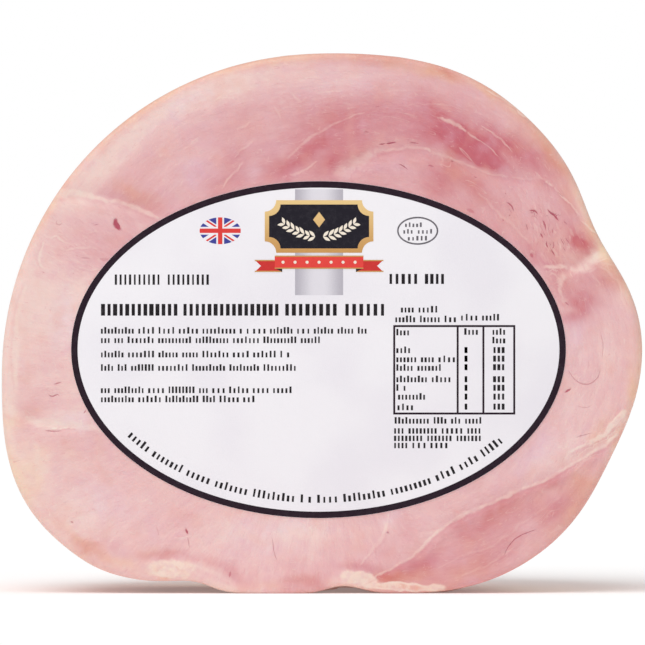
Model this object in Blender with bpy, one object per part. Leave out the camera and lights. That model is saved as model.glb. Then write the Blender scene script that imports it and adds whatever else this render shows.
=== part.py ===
"""Half of a boneless cooked ham, lying on its side with the cut face to the front and an oval paper label on it.

The front of the ham is a flat knife cut, and faces -Y. The back is the ham's own rounded end. Metres, +Z up,
with the origin at the middle of the underside.
"""

import math

import bmesh
import bpy
from mathutils import Matrix, Vector

MM = 0.001

# Driving sizes, in millimetres

HAM_LENGTH = 127.0  # from the label's front to the tip of the rounded end
CORE_HEIGHT = 76.0  # of the point that the outline is measured from
HALF_WIDTH_RIGHT = 110.3
HALF_WIDTH_LEFT = 112.7
RISE = 113.5  # from the core up to the top
DROP = 77.2  # from the core down, before the ham settles flat on its underside

# How square each quarter of the outline is: 2 is an ellipse, and more is squarer
SQUARENESS_TOP_RIGHT = 2.15
SQUARENESS_TOP_LEFT = 2.02
SQUARENESS_LOWER_LEFT = 2.9
SQUARENESS_LOWER_RIGHT = 2.35

# Muscles that swell the outline and dents between them: angle and spread in degrees, height in millimetres
OUTLINE_LOBES = (
    (3.0, 18.0, 3.6),  # right flank
    (27.5, 10.5, -4.3),  # dent at the fat seam
    (64.0, 16.0, 2.6),  # right shoulder
    (345.0, 15.0, -4.9),  # flat below the right flank
    (308.0, 16.5, 2.8),  # lower right muscle
    (276.0, 7.4, -3.2),  # hollow of the underside
    (237.5, 6.4, -3.2),  # lower left dent
    (221.0, 6.7, 1.2),  # lower left corner
)

# The cut edge is rounded, and the body swells out behind it

EDGE_RADIUS = 3.2
SWELL = 0.5
SWELL_LENGTH = 14.0
DOME_START = 40.0  # distance behind the cut at which the rounded end begins
DOME_ROUNDNESS = 2.3
TIP_SIDE = -9.0  # the tip of the rounded end, from the origin
TIP_HEIGHT = 76.0
LOBE_FADE = 0.6  # share of the lobes that is gone at the tip

# Low hollows of the skin, three and seven round the body, which set in behind its widest part
WIDE_HOLLOW = 1.1
NARROW_HOLLOW = 0.6
HOLLOW_START = 26.0
HOLLOW_FADE_IN = 30.0

# The swellings that the ham rests on, before they are pressed flat: angle and spread in degrees, sag in
# millimetres, and the depths behind the cut where the sag starts and is full
RESTING_LOBES = (
    (258.0, 11.0, 1.4, 3.0, 19.0),
    (291.0, 10.0, 1.4, 3.0, 19.0),
    (273.0, 24.0, 5.5, 22.0, 66.0),
)

# Grooves that run back over the skin from the seams: angle, spread and drift in degrees, depth in millimetres
SKIN_GROOVES = (
    (27.0, 4.5, 14.0, 3.2),
    (341.0, 4.0, -16.0, 2.6),
    (238.0, 5.0, 12.0, 2.4),
    (193.0, 3.8, -14.0, 2.2),
    (146.0, 5.0, 18.0, 1.8),
    (80.0, 6.0, -22.0, 1.8),
    (301.0, 5.0, 12.0, 1.4),
)
GROOVE_START = 15.0
GROOVE_FADE_IN = 25.0
GROOVE_FADE_OUT = 0.5  # share of the body's depth at which a groove begins to die out

# The seams between muscles on the cut face: points across and up, in millimetres
ARCH_SEAM = ((4.0, 145.5), (13.0, 150.5), (22.0, 154.5), (33.0, 155.0), (46.0, 151.0), (58.0, 147.0), (72.0, 145.0))
FAT_SEAM = ((74.0, 115.0), (84.0, 113.0), (92.0, 116.0), (104.0, 121.0))
UPPER_LEFT_SEAM = ((-98.0, 139.0), (-85.0, 139.5), (-72.0, 137.5), (-54.0, 131.0))
LEFT_SEAM = ((-114.0, 67.0), (-104.0, 61.5), (-95.0, 59.0), (-76.0, 57.0))
LOWER_RIGHT_SEAM = (
    (108.0, 60.0),
    (98.0, 51.0),
    (90.0, 46.5),
    (80.0, 40.8),
    (64.0, 33.5),
    (43.0, 23.5),
    (34.0, 14.5),
    (17.0, 5.0),
)
SEAMS = (ARCH_SEAM, FAT_SEAM, UPPER_LEFT_SEAM, LEFT_SEAM, LOWER_RIGHT_SEAM)
SEAM_DEPTH = 0.8
SEAM_SPREAD = 3.2
LOWER_MUSCLE_SINK = 0.9  # the muscle under the lower right seam has shrunk back from the cut
LOWER_MUSCLE_RAMP = 5.0
FACE_FALL = 0.9  # the cut falls back this much from the label to its edge

# The oval label

LABEL_HALF_WIDTH = 86.6
LABEL_HALF_HEIGHT = 59.0
LABEL_SIDE = -1.2
LABEL_HEIGHT = 85.4
LABEL_THICKNESS = 0.4
LABEL_GAP = 0.3
LABEL_SIDES = 96
FLAT_MARGIN = 1.03  # relief starts outside this many times the label's outline
FLAT_RAMP = 0.10
FALL_REACH = 0.55  # the corners of the cut lie about this many outlines beyond the label

# Mesh fineness

SPOKES = 132
LABEL_ZONE_RINGS = 3
LABEL_ZONE_END = 0.60  # share of the way from the core to the cut edge
OPEN_FACE_RINGS = 12
EDGE_RINGS = 3
FLANK_RINGS = 7
DOME_RINGS = 11

FRONT = -HAM_LENGTH / 2
CUT_PLANE = FRONT + LABEL_THICKNESS + LABEL_GAP
BODY_DEPTH = HAM_LENGTH / 2 - CUT_PLANE


def smooth_step(value):
    """0 below 0, 1 above 1, and a smooth ramp between."""
    t = min(max(value, 0.0), 1.0)
    return t * t * (3.0 - 2.0 * t)


def bump(angle, centre, spread):
    """A smooth hump of height 1 around an angle, all in degrees."""
    away = (angle - centre + 180.0) % 360.0 - 180.0
    return math.exp(-((away / spread) ** 2))


def quarter_radius(angle):
    """Radius of the plain outline, four quarters of superellipses that meet at the core's level and upright."""
    across = math.cos(math.radians(angle))
    up = math.sin(math.radians(angle))
    half_width = HALF_WIDTH_RIGHT if across >= 0 else HALF_WIDTH_LEFT
    half_height = RISE if up >= 0 else DROP
    if up >= 0:
        squareness = SQUARENESS_TOP_RIGHT if across >= 0 else SQUARENESS_TOP_LEFT
    else:
        squareness = SQUARENESS_LOWER_RIGHT if across >= 0 else SQUARENESS_LOWER_LEFT
    total = abs(across / half_width) ** squareness + abs(up / half_height) ** squareness
    return total ** (-1.0 / squareness)


def outline_radius(angle, lobe_share=1.0):
    """Radius of the ham's widest outline at an angle in degrees, anticlockwise from the right as seen from the front."""
    lobes = sum(height * bump(angle, centre, spread) for centre, spread, height in OUTLINE_LOBES)
    return quarter_radius(angle) + lobe_share * lobes


def distance_to_seam(across, up, seam):
    """Distance from a point of the cut face to a seam, positive above it as the seam runs, negative below."""
    point = Vector((across, up))
    nearest, side = math.inf, 1.0
    for first, second in zip(seam, seam[1:]):
        start, run = Vector(first), Vector(second) - Vector(first)
        along = min(max((point - start).dot(run) / run.length_squared, 0.0), 1.0)
        gap = point - (start + along * run)
        if gap.length < nearest:
            nearest = gap.length
            side = 1.0 if gap.cross(run) >= 0.0 else -1.0
    return nearest * side


def face_sink(across, up):
    """How far the cut face lies behind its plane at a point: a fall towards the edge and valleys along the seams."""
    reach = math.hypot((across - LABEL_SIDE) / LABEL_HALF_WIDTH, (up - LABEL_HEIGHT) / LABEL_HALF_HEIGHT)
    open_share = smooth_step((reach - FLAT_MARGIN) / FLAT_RAMP)
    fall = FACE_FALL * max(reach - FLAT_MARGIN, 0.0) ** 2 / FALL_REACH**2
    distances = [distance_to_seam(across, up, seam) for seam in SEAMS]
    valley = SEAM_DEPTH * max(math.exp(-((distance / SEAM_SPREAD) ** 2)) for distance in distances)
    below = -distances[SEAMS.index(LOWER_RIGHT_SEAM)]
    in_lower_muscle = smooth_step((across - 10.0) / 20.0) * smooth_step(below / LOWER_MUSCLE_RAMP)
    return fall + open_share * max(valley, LOWER_MUSCLE_SINK * in_lower_muscle)


def skin_groove(angle, depth):
    """Depth of the grooves in the skin, which drift round the body as they run back and die out before the tip."""
    share = depth / BODY_DEPTH
    strength = smooth_step((depth - GROOVE_START) / GROOVE_FADE_IN)
    strength *= 1.0 - smooth_step((share - GROOVE_FADE_OUT) / (1.0 - GROOVE_FADE_OUT))
    grooves = sum(
        deep * bump(angle, centre + drift * share, spread) for centre, spread, drift, deep in SKIN_GROOVES
    )
    return strength * grooves


def skin_hollow(angle, depth):
    """Depth of the low hollows between the swells of the skin, no two alike."""
    wide = 1.0 - math.sin(math.radians(3.0 * angle) + 0.045 * depth)
    narrow = 1.0 - math.sin(math.radians(7.0 * angle) - 0.07 * depth + 1.3)
    strength = smooth_step((depth - HOLLOW_START) / HOLLOW_FADE_IN)
    return strength * (WIDE_HOLLOW * wide + NARROW_HOLLOW * narrow)


def sag(angle, depth):
    """How far the underside hangs down behind the cut edge."""
    hang = 0.0
    for centre, spread, height, start, full in RESTING_LOBES:
        hang += height * bump(angle, centre, spread) * smooth_step((depth - start) / (full - start))
    return hang


def world_point(across, depth, up):
    """A point of the ham. What would hang below the underside is pressed flat on it."""
    return Vector((across, CUT_PLANE + depth, max(up, 0.0))) * MM


def spoke_angles():
    return [360.0 * spoke / SPOKES for spoke in range(SPOKES)]


def face_ring(share):
    """A ring of the cut face, at a share of the way from the core to the cut edge."""
    ring = []
    for angle in spoke_angles():
        radius = share * (outline_radius(angle) - EDGE_RADIUS - SWELL)
        across = radius * math.cos(math.radians(angle))
        up = CORE_HEIGHT + radius * math.sin(math.radians(angle))
        ring.append(world_point(across, face_sink(across, up), up))
    return ring


def edge_ring(turn):
    """A ring of the rounded cut edge, at a turn from 0 on the face to 90 degrees on the flank."""
    ring = []
    for angle in spoke_angles():
        edge = outline_radius(angle) - EDGE_RADIUS - SWELL
        flat = face_sink(edge * math.cos(math.radians(angle)), CORE_HEIGHT + edge * math.sin(math.radians(angle)))
        radius = edge + EDGE_RADIUS * math.sin(math.radians(turn))
        depth = EDGE_RADIUS * (1.0 - math.cos(math.radians(turn)))
        depth += flat * math.cos(math.radians(turn))
        across = radius * math.cos(math.radians(angle))
        up = CORE_HEIGHT + radius * math.sin(math.radians(angle))
        ring.append(world_point(across, depth, up))
    return ring


def body_ring(depth, size):
    """A ring of the body at a depth behind the cut, its outline drawn in to a size about a line to the tip."""
    lobe_share = 1.0 - LOBE_FADE * smooth_step((depth - DOME_START) / (BODY_DEPTH - DOME_START))
    swelling = SWELL * (1.0 - smooth_step((depth - EDGE_RADIUS) / SWELL_LENGTH))
    side = TIP_SIDE * (1.0 - size)
    core = CORE_HEIGHT + (TIP_HEIGHT - CORE_HEIGHT) * (1.0 - size)
    ring = []
    for angle in spoke_angles():
        radius = outline_radius(angle, lobe_share) - swelling
        radius += sag(angle, depth) - skin_hollow(angle, depth) - skin_groove(angle, depth)
        across = side + size * radius * math.cos(math.radians(angle))
        up = core + size * radius * math.sin(math.radians(angle))
        ring.append(world_point(across, depth, up))
    return ring


def face_rings():
    inner = [LABEL_ZONE_END * (ring + 1) / LABEL_ZONE_RINGS for ring in range(LABEL_ZONE_RINGS)]
    step = (1.0 - LABEL_ZONE_END) / OPEN_FACE_RINGS
    outer = [LABEL_ZONE_END + step * (ring + 1) for ring in range(OPEN_FACE_RINGS)]
    return [face_ring(share) for share in inner + outer]


def edge_rings():
    return [edge_ring(90.0 * (step + 1) / EDGE_RINGS) for step in range(EDGE_RINGS)]


def flank_rings():
    run = DOME_START - EDGE_RADIUS
    return [body_ring(EDGE_RADIUS + run * (step + 1) / FLANK_RINGS, 1.0) for step in range(FLANK_RINGS)]


def dome_rings():
    rings = []
    for step in range(1, DOME_RINGS):
        turn = math.radians(90.0 * step / DOME_RINGS)
        size = math.cos(turn) ** (2.0 / DOME_ROUNDNESS)
        depth = DOME_START + (BODY_DEPTH - DOME_START) * math.sin(turn) ** (2.0 / DOME_ROUNDNESS)
        rings.append(body_ring(depth, size))
    return rings


def paint(obj, name, colour, roughness):
    material = bpy.data.materials.new(name)
    material.use_nodes = True
    shader = material.node_tree.nodes["Principled BSDF"]
    shader.inputs["Base Color"].default_value = (*colour, 1.0)
    shader.inputs["Roughness"].default_value = roughness
    shader.inputs["Metallic"].default_value = 0.0
    obj.data.materials.append(material)


def place(name, form, collection):
    """Turns a bmesh into a named object of the collection."""
    mesh = bpy.data.meshes.new(name)
    form.to_mesh(mesh)
    form.free()
    obj = bpy.data.objects.new(name, mesh)
    collection.objects.link(obj)
    return obj


def make_ham(collection):
    """The meat, one solid: a loft from the middle of the cut face, over the cut edge and back to the tip."""
    form = bmesh.new()
    rings = face_rings() + edge_rings() + flank_rings() + dome_rings()
    loops = [[form.verts.new(point) for point in ring] for ring in rings]
    face_middle = form.verts.new(world_point(0.0, 0.0, CORE_HEIGHT))
    tip = form.verts.new(world_point(TIP_SIDE, BODY_DEPTH, TIP_HEIGHT))
    for spoke in range(SPOKES):
        after = (spoke + 1) % SPOKES
        form.faces.new((face_middle, loops[0][spoke], loops[0][after]))
        for inner, outer in zip(loops, loops[1:]):
            form.faces.new((inner[spoke], outer[spoke], outer[after], inner[after]))
        form.faces.new((loops[-1][spoke], tip, loops[-1][after]))
    bmesh.ops.recalc_face_normals(form, faces=form.faces)
    ham = place("ham", form, collection)
    ham.data.shade_smooth()
    paint(ham, "cooked ham", (0.80, 0.47, 0.46), 0.42)
    return ham


def make_label(collection):
    """The oval paper label, a thin plate a hair clear of the cut face."""
    form = bmesh.new()
    bmesh.ops.create_cone(
        form,
        cap_ends=True,
        segments=LABEL_SIDES,
        radius1=1.0,
        radius2=1.0,
        depth=LABEL_THICKNESS * MM,
    )
    oval = Matrix.Diagonal((LABEL_HALF_WIDTH * MM, LABEL_HALF_HEIGHT * MM, 1.0, 1.0))
    upright = Matrix.Rotation(math.radians(90.0), 4, "X")
    form.transform(upright @ oval)
    label = place("label", form, collection)
    label.location = Vector((LABEL_SIDE, FRONT + LABEL_THICKNESS / 2, LABEL_HEIGHT)) * MM
    paint(label, "label paper", (0.90, 0.88, 0.90), 0.55)
    return label


def main():
    for obj in list(bpy.data.objects):
        bpy.data.objects.remove(obj)
    collection = bpy.data.collections.new("Cooked ham half")
    bpy.context.scene.collection.children.link(collection)
    make_ham(collection)
    make_label(collection)


main()
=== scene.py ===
"""The looks of half a cooked ham: its cut face and skin, the oval paper label with its print, and a studio.

Lengths are in millimetres unless a name says otherwise, and MM turns them into the frame's metres. Angles
run in degrees, anticlockwise from the right as seen from the front. A point of the cut face is given across
and up.
"""

import math

import bmesh
import bpy
import numpy as np
from mathutils import Matrix, Vector


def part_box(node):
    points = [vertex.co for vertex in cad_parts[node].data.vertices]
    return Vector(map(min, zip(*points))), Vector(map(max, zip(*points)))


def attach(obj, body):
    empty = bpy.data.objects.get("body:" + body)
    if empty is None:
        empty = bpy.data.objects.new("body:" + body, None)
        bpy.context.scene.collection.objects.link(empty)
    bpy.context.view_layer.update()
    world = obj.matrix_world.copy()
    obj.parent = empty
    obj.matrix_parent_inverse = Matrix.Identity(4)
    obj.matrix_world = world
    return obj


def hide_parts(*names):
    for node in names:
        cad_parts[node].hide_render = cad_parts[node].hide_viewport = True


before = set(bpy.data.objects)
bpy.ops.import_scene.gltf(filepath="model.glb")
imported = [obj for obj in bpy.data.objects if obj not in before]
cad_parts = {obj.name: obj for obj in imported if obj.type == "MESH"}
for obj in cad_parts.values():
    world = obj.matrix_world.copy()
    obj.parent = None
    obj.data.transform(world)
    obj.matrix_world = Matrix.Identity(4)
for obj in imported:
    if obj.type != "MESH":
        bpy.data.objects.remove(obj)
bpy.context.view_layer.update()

MM = 0.001

# The photograph: the cut face is parallel to the picture, and the camera looks straight at it
PICTURE_SIDE = 645
MM_PER_PIXEL = 0.35
CAMERA_DISTANCE = 2500.0
CAMERA_SIDE = 0.2
CAMERA_HEIGHT = 94.9
SENSOR_WIDTH = 36.0

# The ham's form, from the same driving sizes as the solid
ham_low, ham_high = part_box("ham")
label_low, label_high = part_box("label")
CUT_PLANE = ham_low.y / MM
BODY_DEPTH = (ham_high.y - ham_low.y) / MM
CORE_HEIGHT = 76.0
HALF_WIDTH_RIGHT = 110.3
HALF_WIDTH_LEFT = 112.7
RISE = 113.5
DROP = 77.2
SQUARENESS_TOP_RIGHT = 2.15
SQUARENESS_TOP_LEFT = 2.02
SQUARENESS_LOWER_LEFT = 2.9
SQUARENESS_LOWER_RIGHT = 2.35

# Swells and dents of the outline: angle, spread, height
OUTLINE_LOBES = (
    (3.0, 18.0, 3.6),
    (27.5, 10.5, -4.3),
    (64.0, 16.0, 2.6),
    (345.0, 15.0, -4.9),
    (308.0, 16.5, 2.8),
    (276.0, 7.4, -3.2),
    (237.5, 6.4, -3.2),
    (221.0, 6.7, 1.2),
)
EDGE_RADIUS = 3.2
SWELL = 0.5  # how far the body widens behind the cut edge
SWELL_LENGTH = 14.0
DOME_START = 40.0
DOME_ROUNDNESS = 2.3
TIP_SIDE = -9.0
TIP_HEIGHT = 76.0
LOBE_FADE = 0.6
# Hollows between the swells of the skin: how deep, how many round the body, turn with depth, first turn
SKIN_HOLLOWS = (
    (1.1, 3.0, 0.045, 0.0),
    (0.6, 7.0, -0.07, 1.3),
)
HOLLOW_START = 26.0
HOLLOW_FADE_IN = 30.0
# Where the underside hangs down behind the cut: angle, spread, how far, depths where it starts and is full
RESTING_LOBES = (
    (258.0, 11.0, 1.4, 3.0, 19.0),
    (291.0, 10.0, 1.4, 3.0, 19.0),
    (273.0, 24.0, 5.5, 22.0, 66.0),
)
# Grooves that run back over the skin: angle, spread, how far they turn on their way, how deep
SKIN_GROOVES = (
    (27.0, 4.5, 14.0, 3.2),
    (341.0, 4.0, -16.0, 2.6),
    (238.0, 5.0, 12.0, 2.4),
    (193.0, 3.8, -14.0, 2.2),
    (146.0, 5.0, 18.0, 1.8),
    (80.0, 6.0, -22.0, 1.8),
    (301.0, 5.0, 12.0, 1.4),
)
GROOVE_START = 15.0
GROOVE_FADE_IN = 25.0
GROOVE_FADE_OUT = 0.5

# Seams between muscles, each with all the points that the photograph shows
ARCH_SEAM = ((4, 145.5), (9, 147.5), (13, 150.5), (22, 154.5), (33, 155), (46, 151), (58, 147), (72, 145))
ARCH_END = ((80, 144), (86, 138.5), (92, 129), (98, 120))
FAT_SEAM = ((74, 115), (84, 113), (92, 116), (99, 120.5), (104, 123))
UPPER_LEFT_SEAM = ((-104, 138.5), (-92, 139), (-78, 139), (-72, 137.5), (-61, 133.5), (-50, 129.5))
LEFT_SEAM = ((-114, 67), (-108, 64), (-100, 60), (-88, 58.5), (-76, 57), (-60, 52))
LOWER_RIGHT_SEAM = (
    (12, 1),
    (17, 5),
    (26, 9.5),
    (34, 14.5),
    (43, 23.5),
    (58, 31),
    (70, 36.3),
    (80, 40.8),
    (90, 46.5),
    (98, 51),
    (108, 60),
)
SEAMS = (ARCH_SEAM, FAT_SEAM, UPPER_LEFT_SEAM, LEFT_SEAM, LOWER_RIGHT_SEAM)
SEAM_DEPTH = 0.8
SEAM_SPREAD = 2.6
LOWER_MUSCLE_SINK = 0.9
LOWER_MUSCLE_RAMP = 5.0
FACE_FALL = 0.9
FALL_REACH = 0.55

# Pale tissue on the cut: points, half widths spread evenly along it, strength
PALE_LINES = (
    (((4.7, 145.1), (8.6, 148.6), (11.7, 150.6), (15.6, 152.9), (18.3, 154.2)), (2.2, 2.2, 1.5, 0.8), 0.38),
    (
        ((17, 153.6), (21, 155.2), (26.4, 155.8), (31, 156), (36.6, 155.5), (39.7, 154.7)),
        (0.8, 0.45, 0.4, 0.35),
        0.5,
    ),
    (
        ((38, 155.2), (43.6, 153.1), (48.2, 151.3), (54.4, 148.6), (59, 147.1), (66, 145.7)),
        (0.4, 0.3, 0.22),
        0.34,
    ),
    (((66, 145.7), (72, 145.2), (78, 145.3), (82, 142)), (0.2, 0.3, 0.2), 0.2),
    (
        ((74, 147.6), (78.9, 144.1), (81.6, 141.5), (85, 138.6), (88, 135.1), (90.5, 132)),
        (0.2, 0.3, 0.25),
        0.65,
    ),
    (((90, 131), (93, 128.6), (96.7, 125.5)), (0.2, 0.3, 0.2), 0.5),
    (((76.5, 113.9), (79.2, 114.5), (82.6, 114.4), (86, 113.6)), (0.35, 0.5, 0.8, 1.2), 0.75),
    (((84.5, 113.7), (88, 113.6), (91.5, 114.6), (94.5, 117), (97, 120)), (0.8, 1.1, 1.9, 2.4), 0.7),
    (((84.8, 112.6), (84.1, 110.2), (83.4, 107), (84, 104.4), (86, 102.2)), (1.4, 0.8, 0.4, 0.2), 0.6),
    (((79, 111), (81, 112.2), (82.6, 110.6), (82.2, 108.6)), (0.2, 0.3, 0.2), 0.4),
    (((83.5, 104), (84.6, 102.6), (86.6, 102.4)), (0.5, 0.7, 0.3), 0.5),
    (((96, 114.6), (100.5, 112.5), (104, 108.5), (105, 104)), (0.3, 0.4, 0.2), 0.3),
    (((90.5, 112.6), (94, 112.8), (97.9, 115.2), (102.5, 115.2)), (0.5, 0.35, 0.3), 0.3),
    (
        ((-97, 139.4), (-88.2, 140.3), (-84, 139.8), (-78.4, 138.4), (-74.2, 137.2)),
        (1.6, 1.2, 0.8, 0.5),
        0.55,
    ),
    (((-75, 137.3), (-70.7, 137.2), (-67.2, 136.1), (-63, 134.2), (-57, 131.2)), (0.5, 0.65, 0.5), 0.6),
    (
        ((-112, 66.5), (-108, 64), (-104, 61.5), (-100, 60), (-94, 59.3), (-84, 58.5), (-76, 57)),
        (1.8, 1.3, 1.4, 0.9),
        0.35,
    ),
    (
        ((-110.5, 65.4), (-105.7, 62.6), (-101, 59.8), (-91.7, 57.8), (-77, 57.8)),
        (0.4, 0.4, 0.25, 0.15),
        0.85,
    ),
    (
        ((14, 3.6), (26, 9.7), (34, 14.8), (43, 23.8), (58, 31.2), (70, 36.5)),
        (0.3, 0.4, 0.5, 0.6, 0.55),
        0.64,
    ),
    (
        ((69, 36.1), (76, 39.1), (83, 42.7), (90, 46.7), (98, 51.2), (104, 56)),
        (0.5, 0.45, 0.5, 0.6, 0.4),
        0.7,
    ),
    (((86, 49.5), (92, 51.5), (97, 54.5), (103, 58.5), (107, 62)), (0.3, 0.8, 0.9), 0.55),
    (((13, 9.5), (16, 13), (19, 17), (21, 20), (23, 25), (23.5, 29)), (0.3, 0.5, 0.3), 0.4),
    (((-35, 141.5), (-33, 145), (-30, 148), (-27, 151)), (0.2, 0.45, 0.3), 0.46),
    (((-31, 152.5), (-28, 155.5), (-23, 159)), (0.2, 0.35, 0.2), 0.38),
    (((-103.5, 108), (-106.5, 96), (-107.2, 82), (-106.5, 70)), (0.4, 0.8, 0.8, 0.4), 0.3),
    (((5, 145.8), (8, 148.8), (12, 151.4), (17, 153.6)), (0.4, 0.5, 0.35), 0.5),
    (((9, 146.5), (11.5, 148.5), (13.5, 151)), (0.25, 0.4, 0.25), 0.45),
    (((-30, 162.5), (-24, 165.5)), (0.2, 0.35, 0.2), 0.34),
    (
        ((-13, 152), (-8, 156), (-4, 159.5), (0, 162), (4, 164.5), (10, 167), (15, 168.5)),
        (0.3, 0.45, 0.35, 0.2),
        0.35,
    ),
    (((-17, 171), (-14, 166)), (0.2, 0.35, 0.2), 0.32),
    (((-11, 175.5), (-8, 172.5), (-5, 173.5)), (0.3, 0.5, 0.3), 0.42),
    (((-2, 175), (8, 176.5)), (0.2, 0.3, 0.2), 0.35),
    (((40.5, 166.7), (44, 165.6), (47, 163.6), (50.6, 161.4)), (0.3, 0.7, 0.6, 0.25), 0.64),
    (((50, 161.8), (54.4, 159.1), (59, 155.6), (62, 152.6)), (0.25, 0.22, 0.15), 0.45),
    (((55, 164), (57.5, 162.6), (60.7, 160.7), (64, 157.6), (67, 154.3)), (0.15, 0.25, 0.2), 0.6),
    (((57, 177), (63, 173.4), (70, 168.4), (76, 163)), (0.25, 0.35, 0.3), 0.7),
    (((28, 171), (40, 171.6), (52, 169)), (0.2, 0.25, 0.15), 0.18),
    (((20, 175.6), (34, 176.4), (46, 174)), (0.2, 0.25, 0.15), 0.16),
    (((-12, 146), (-6, 148), (-1, 152)), (0.3, 0.5, 0.2), 0.36),
    (((54, 141), (60, 135), (67, 129), (73, 122)), (0.2, 0.5, 0.3), 0.3),
    (((-96.6, 123.7), (-98, 120.9), (-99.3, 118.1), (-98.7, 115.3), (-97.3, 113.9)), (0.3, 0.45, 0.3), 0.45),
    (((-95, 124.5), (-92.8, 124.9), (-90, 122.6)), (0.25, 0.35, 0.2), 0.45),
    (((-90, 120.4), (-85, 121.2), (-78, 121)), (0.2, 0.3, 0.2), 0.35),
    (((-83, 126), (-78, 126.6)), (0.2, 0.3, 0.2), 0.3),
    (((-86, 113.8), (-80, 113.4), (-76, 112.6)), (0.2, 0.3, 0.2), 0.3),
    (((-48, 10.5), (-42, 9.8), (-36, 7.6), (-31, 3.5)), (0.8, 1.4, 1.2, 0.6), 0.36),
    (((40, 8.5), (50, 13.5), (60, 17), (72, 26), (84, 34)), (0.2, 0.4, 0.3), 0.2),
    (((46, 5), (58, 10), (68, 17)), (0.2, 0.35, 0.2), 0.25),
    (((88, 42), (93, 47), (97, 47)), (0.2, 0.4, 0.2), 0.35),
)

# Small gaps and pores in the meat, sunk, and darker partly in their own tint and partly with painted shade:
# points, half width, strength
DARK_MARKS = (
    (((-72.1, 131.8), (-72.2, 129.6), (-70.2, 126.8)), 1.0, 1.0),
    (((-79.8, 129), (-78.2, 129.2)), 0.2, 0.45),
    (((-92.6, 131), (-93, 129.6), (-91.8, 129), (-90.8, 130)), 0.2, 0.35),
    (((-78.2, 117.3), (-76.4, 116.8), (-74.4, 117.3)), 0.6, 0.3),
    (((-84.7, 117.4), (-81, 117.5)), 0.2, 0.4),
    (((-98.2, 112.6), (-97, 112.4)), 0.25, 0.4),
    (((-87.5, 112.2), (-86.8, 112)), 0.25, 0.3),
    (((-80.5, 110), (-79.3, 110.3)), 0.3, 0.4),
    (((20, 157.2), (22.4, 157.5)), 0.24, 0.9),
    (((22.2, 157.4), (24.4, 157.8), (26.2, 158)), 0.26, 1.0),
    (((30.6, 158), (34.4, 157.4)), 0.17, 0.7),
    (((26.6, 150.6), (28.4, 149.8), (30, 148.2)), 0.2, 0.75),
    (((37, 149.9), (39.2, 149.4)), 0.3, 0.6),
    (((53.3, 145.9), (54.1, 145.5)), 0.3, 0.7),
    (((45.2, 151.4), (46, 151.2)), 0.2, 0.6),
    (((18.6, 170.5), (20.4, 170.3)), 0.15, 0.4),
    (((14.4, 161.9), (16.6, 161.4)), 0.18, 0.45),
    (((64.4, 137.1), (65.8, 136.3), (66.7, 135.1), (67.2, 133.6)), 0.26, 0.8),
    (((72.3, 134.1), (74, 134.1), (75, 133.6), (75.8, 132.6)), 0.32, 0.85),
    (((78.6, 134.9), (80.1, 133.4), (81.4, 132.5), (82.1, 131.4), (83.2, 130.1)), 0.42, 0.95),
    (((81.2, 132.3), (82.1, 133.3)), 0.22, 0.6),
    (((77.1, 131.1), (77.8, 129.9), (78.2, 128.1), (78.3, 127)), 0.32, 0.75),
    (((71.5, 129.6), (71.9, 128.1), (72.1, 127)), 0.17, 0.6),
    (((76.3, 126.4), (76.9, 125.2), (77.5, 124.4)), 0.27, 0.8),
    (((78.8, 123.6), (78.6, 122.3), (79.1, 120.9)), 0.24, 0.75),
    (((80.8, 123.6), (81.1, 122.3), (81, 121.1), (80.2, 120.6)), 0.17, 0.6),
    (((80.2, 120.4), (80.9, 119.4), (81.5, 118.2)), 0.26, 0.75),
    (((81, 128), (80.7, 126.9), (81, 126)), 0.3, 0.45),
    (((65.4, 132.3), (66, 132.1)), 0.25, 0.7),
    (((63.2, 130.9), (63.9, 130.7)), 0.3, 0.6),
    (((64, 140.2), (64.6, 140)), 0.2, 0.6),
    (((72.9, 119.4), (73.9, 117.5)), 0.6, 0.6),
    (((83.5, 124.8), (84.2, 123.4), (84.8, 122.3), (85.5, 122)), 0.16, 0.6),
    (((85.2, 124.8), (86, 123.4), (86.6, 122.4)), 0.16, 0.55),
    (((84.4, 121.6), (85.2, 119.7)), 0.16, 0.5),
    (((84.7, 130.6), (85.8, 129.2)), 0.16, 0.5),
    (((82.2, 140.8), (83.6, 139.7), (85.2, 138.4)), 0.15, 0.4),
    (((72.8, 131.2), (73.7, 132.2), (75.1, 131.8), (75.7, 130.6)), 0.15, 0.35),
    (((50.4, 134.8), (52, 134.1), (53.6, 133)), 0.7, 0.4),
    (((-94, 73.3), (-91, 74.1)), 0.24, 0.6),
    (((-96, 70), (-94.5, 69), (-92.5, 69.8), (-91.8, 69)), 0.24, 0.65),
    (((-83.6, 63), (-82.3, 64.4)), 0.24, 0.6),
    (((-97.5, 57.4), (-94, 56.8), (-91, 57)), 0.22, 0.5),
    (((-47.7, 22.9), (-46.9, 20.6)), 0.42, 0.9),
    (((-47, 20), (-46.4, 15.8)), 0.15, 0.5),
    (((-17.6, 20.2), (-16.6, 14), (-15.4, 11)), 0.15, 0.45),
    (((-87.9, 25.3), (-87.1, 24.8)), 0.3, 0.7),
    (((-32, 7.9), (-32.5, 5.6)), 0.4, 0.5),
    (((22.6, 21.8), (23.4, 21.2)), 0.4, 0.7),
    (((84.8, 70.2), (87.4, 72)), 0.45, 0.85),
    (((86, 78.5), (88, 75.5), (91, 73.5), (94, 73.5), (96.5, 75.5), (97.5, 79)), 0.22, 0.42),
    (((98, 82), (98.4, 87), (97.5, 92)), 0.14, 0.35),
    (((89, 66), (92.5, 65), (95, 66.5)), 0.14, 0.3),
    (((85, 102.2), (86.6, 100.8)), 0.2, 0.6),
    (((63.5, 12.8), (65, 16), (67.5, 19), (71, 21), (75.4, 22.6)), 0.18, 0.7),
    (((88.5, 54.6), (92, 55.6), (95, 56.4)), 0.16, 0.45),
    (((-58, 24), (-57, 20)), 0.13, 0.3),
)

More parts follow.
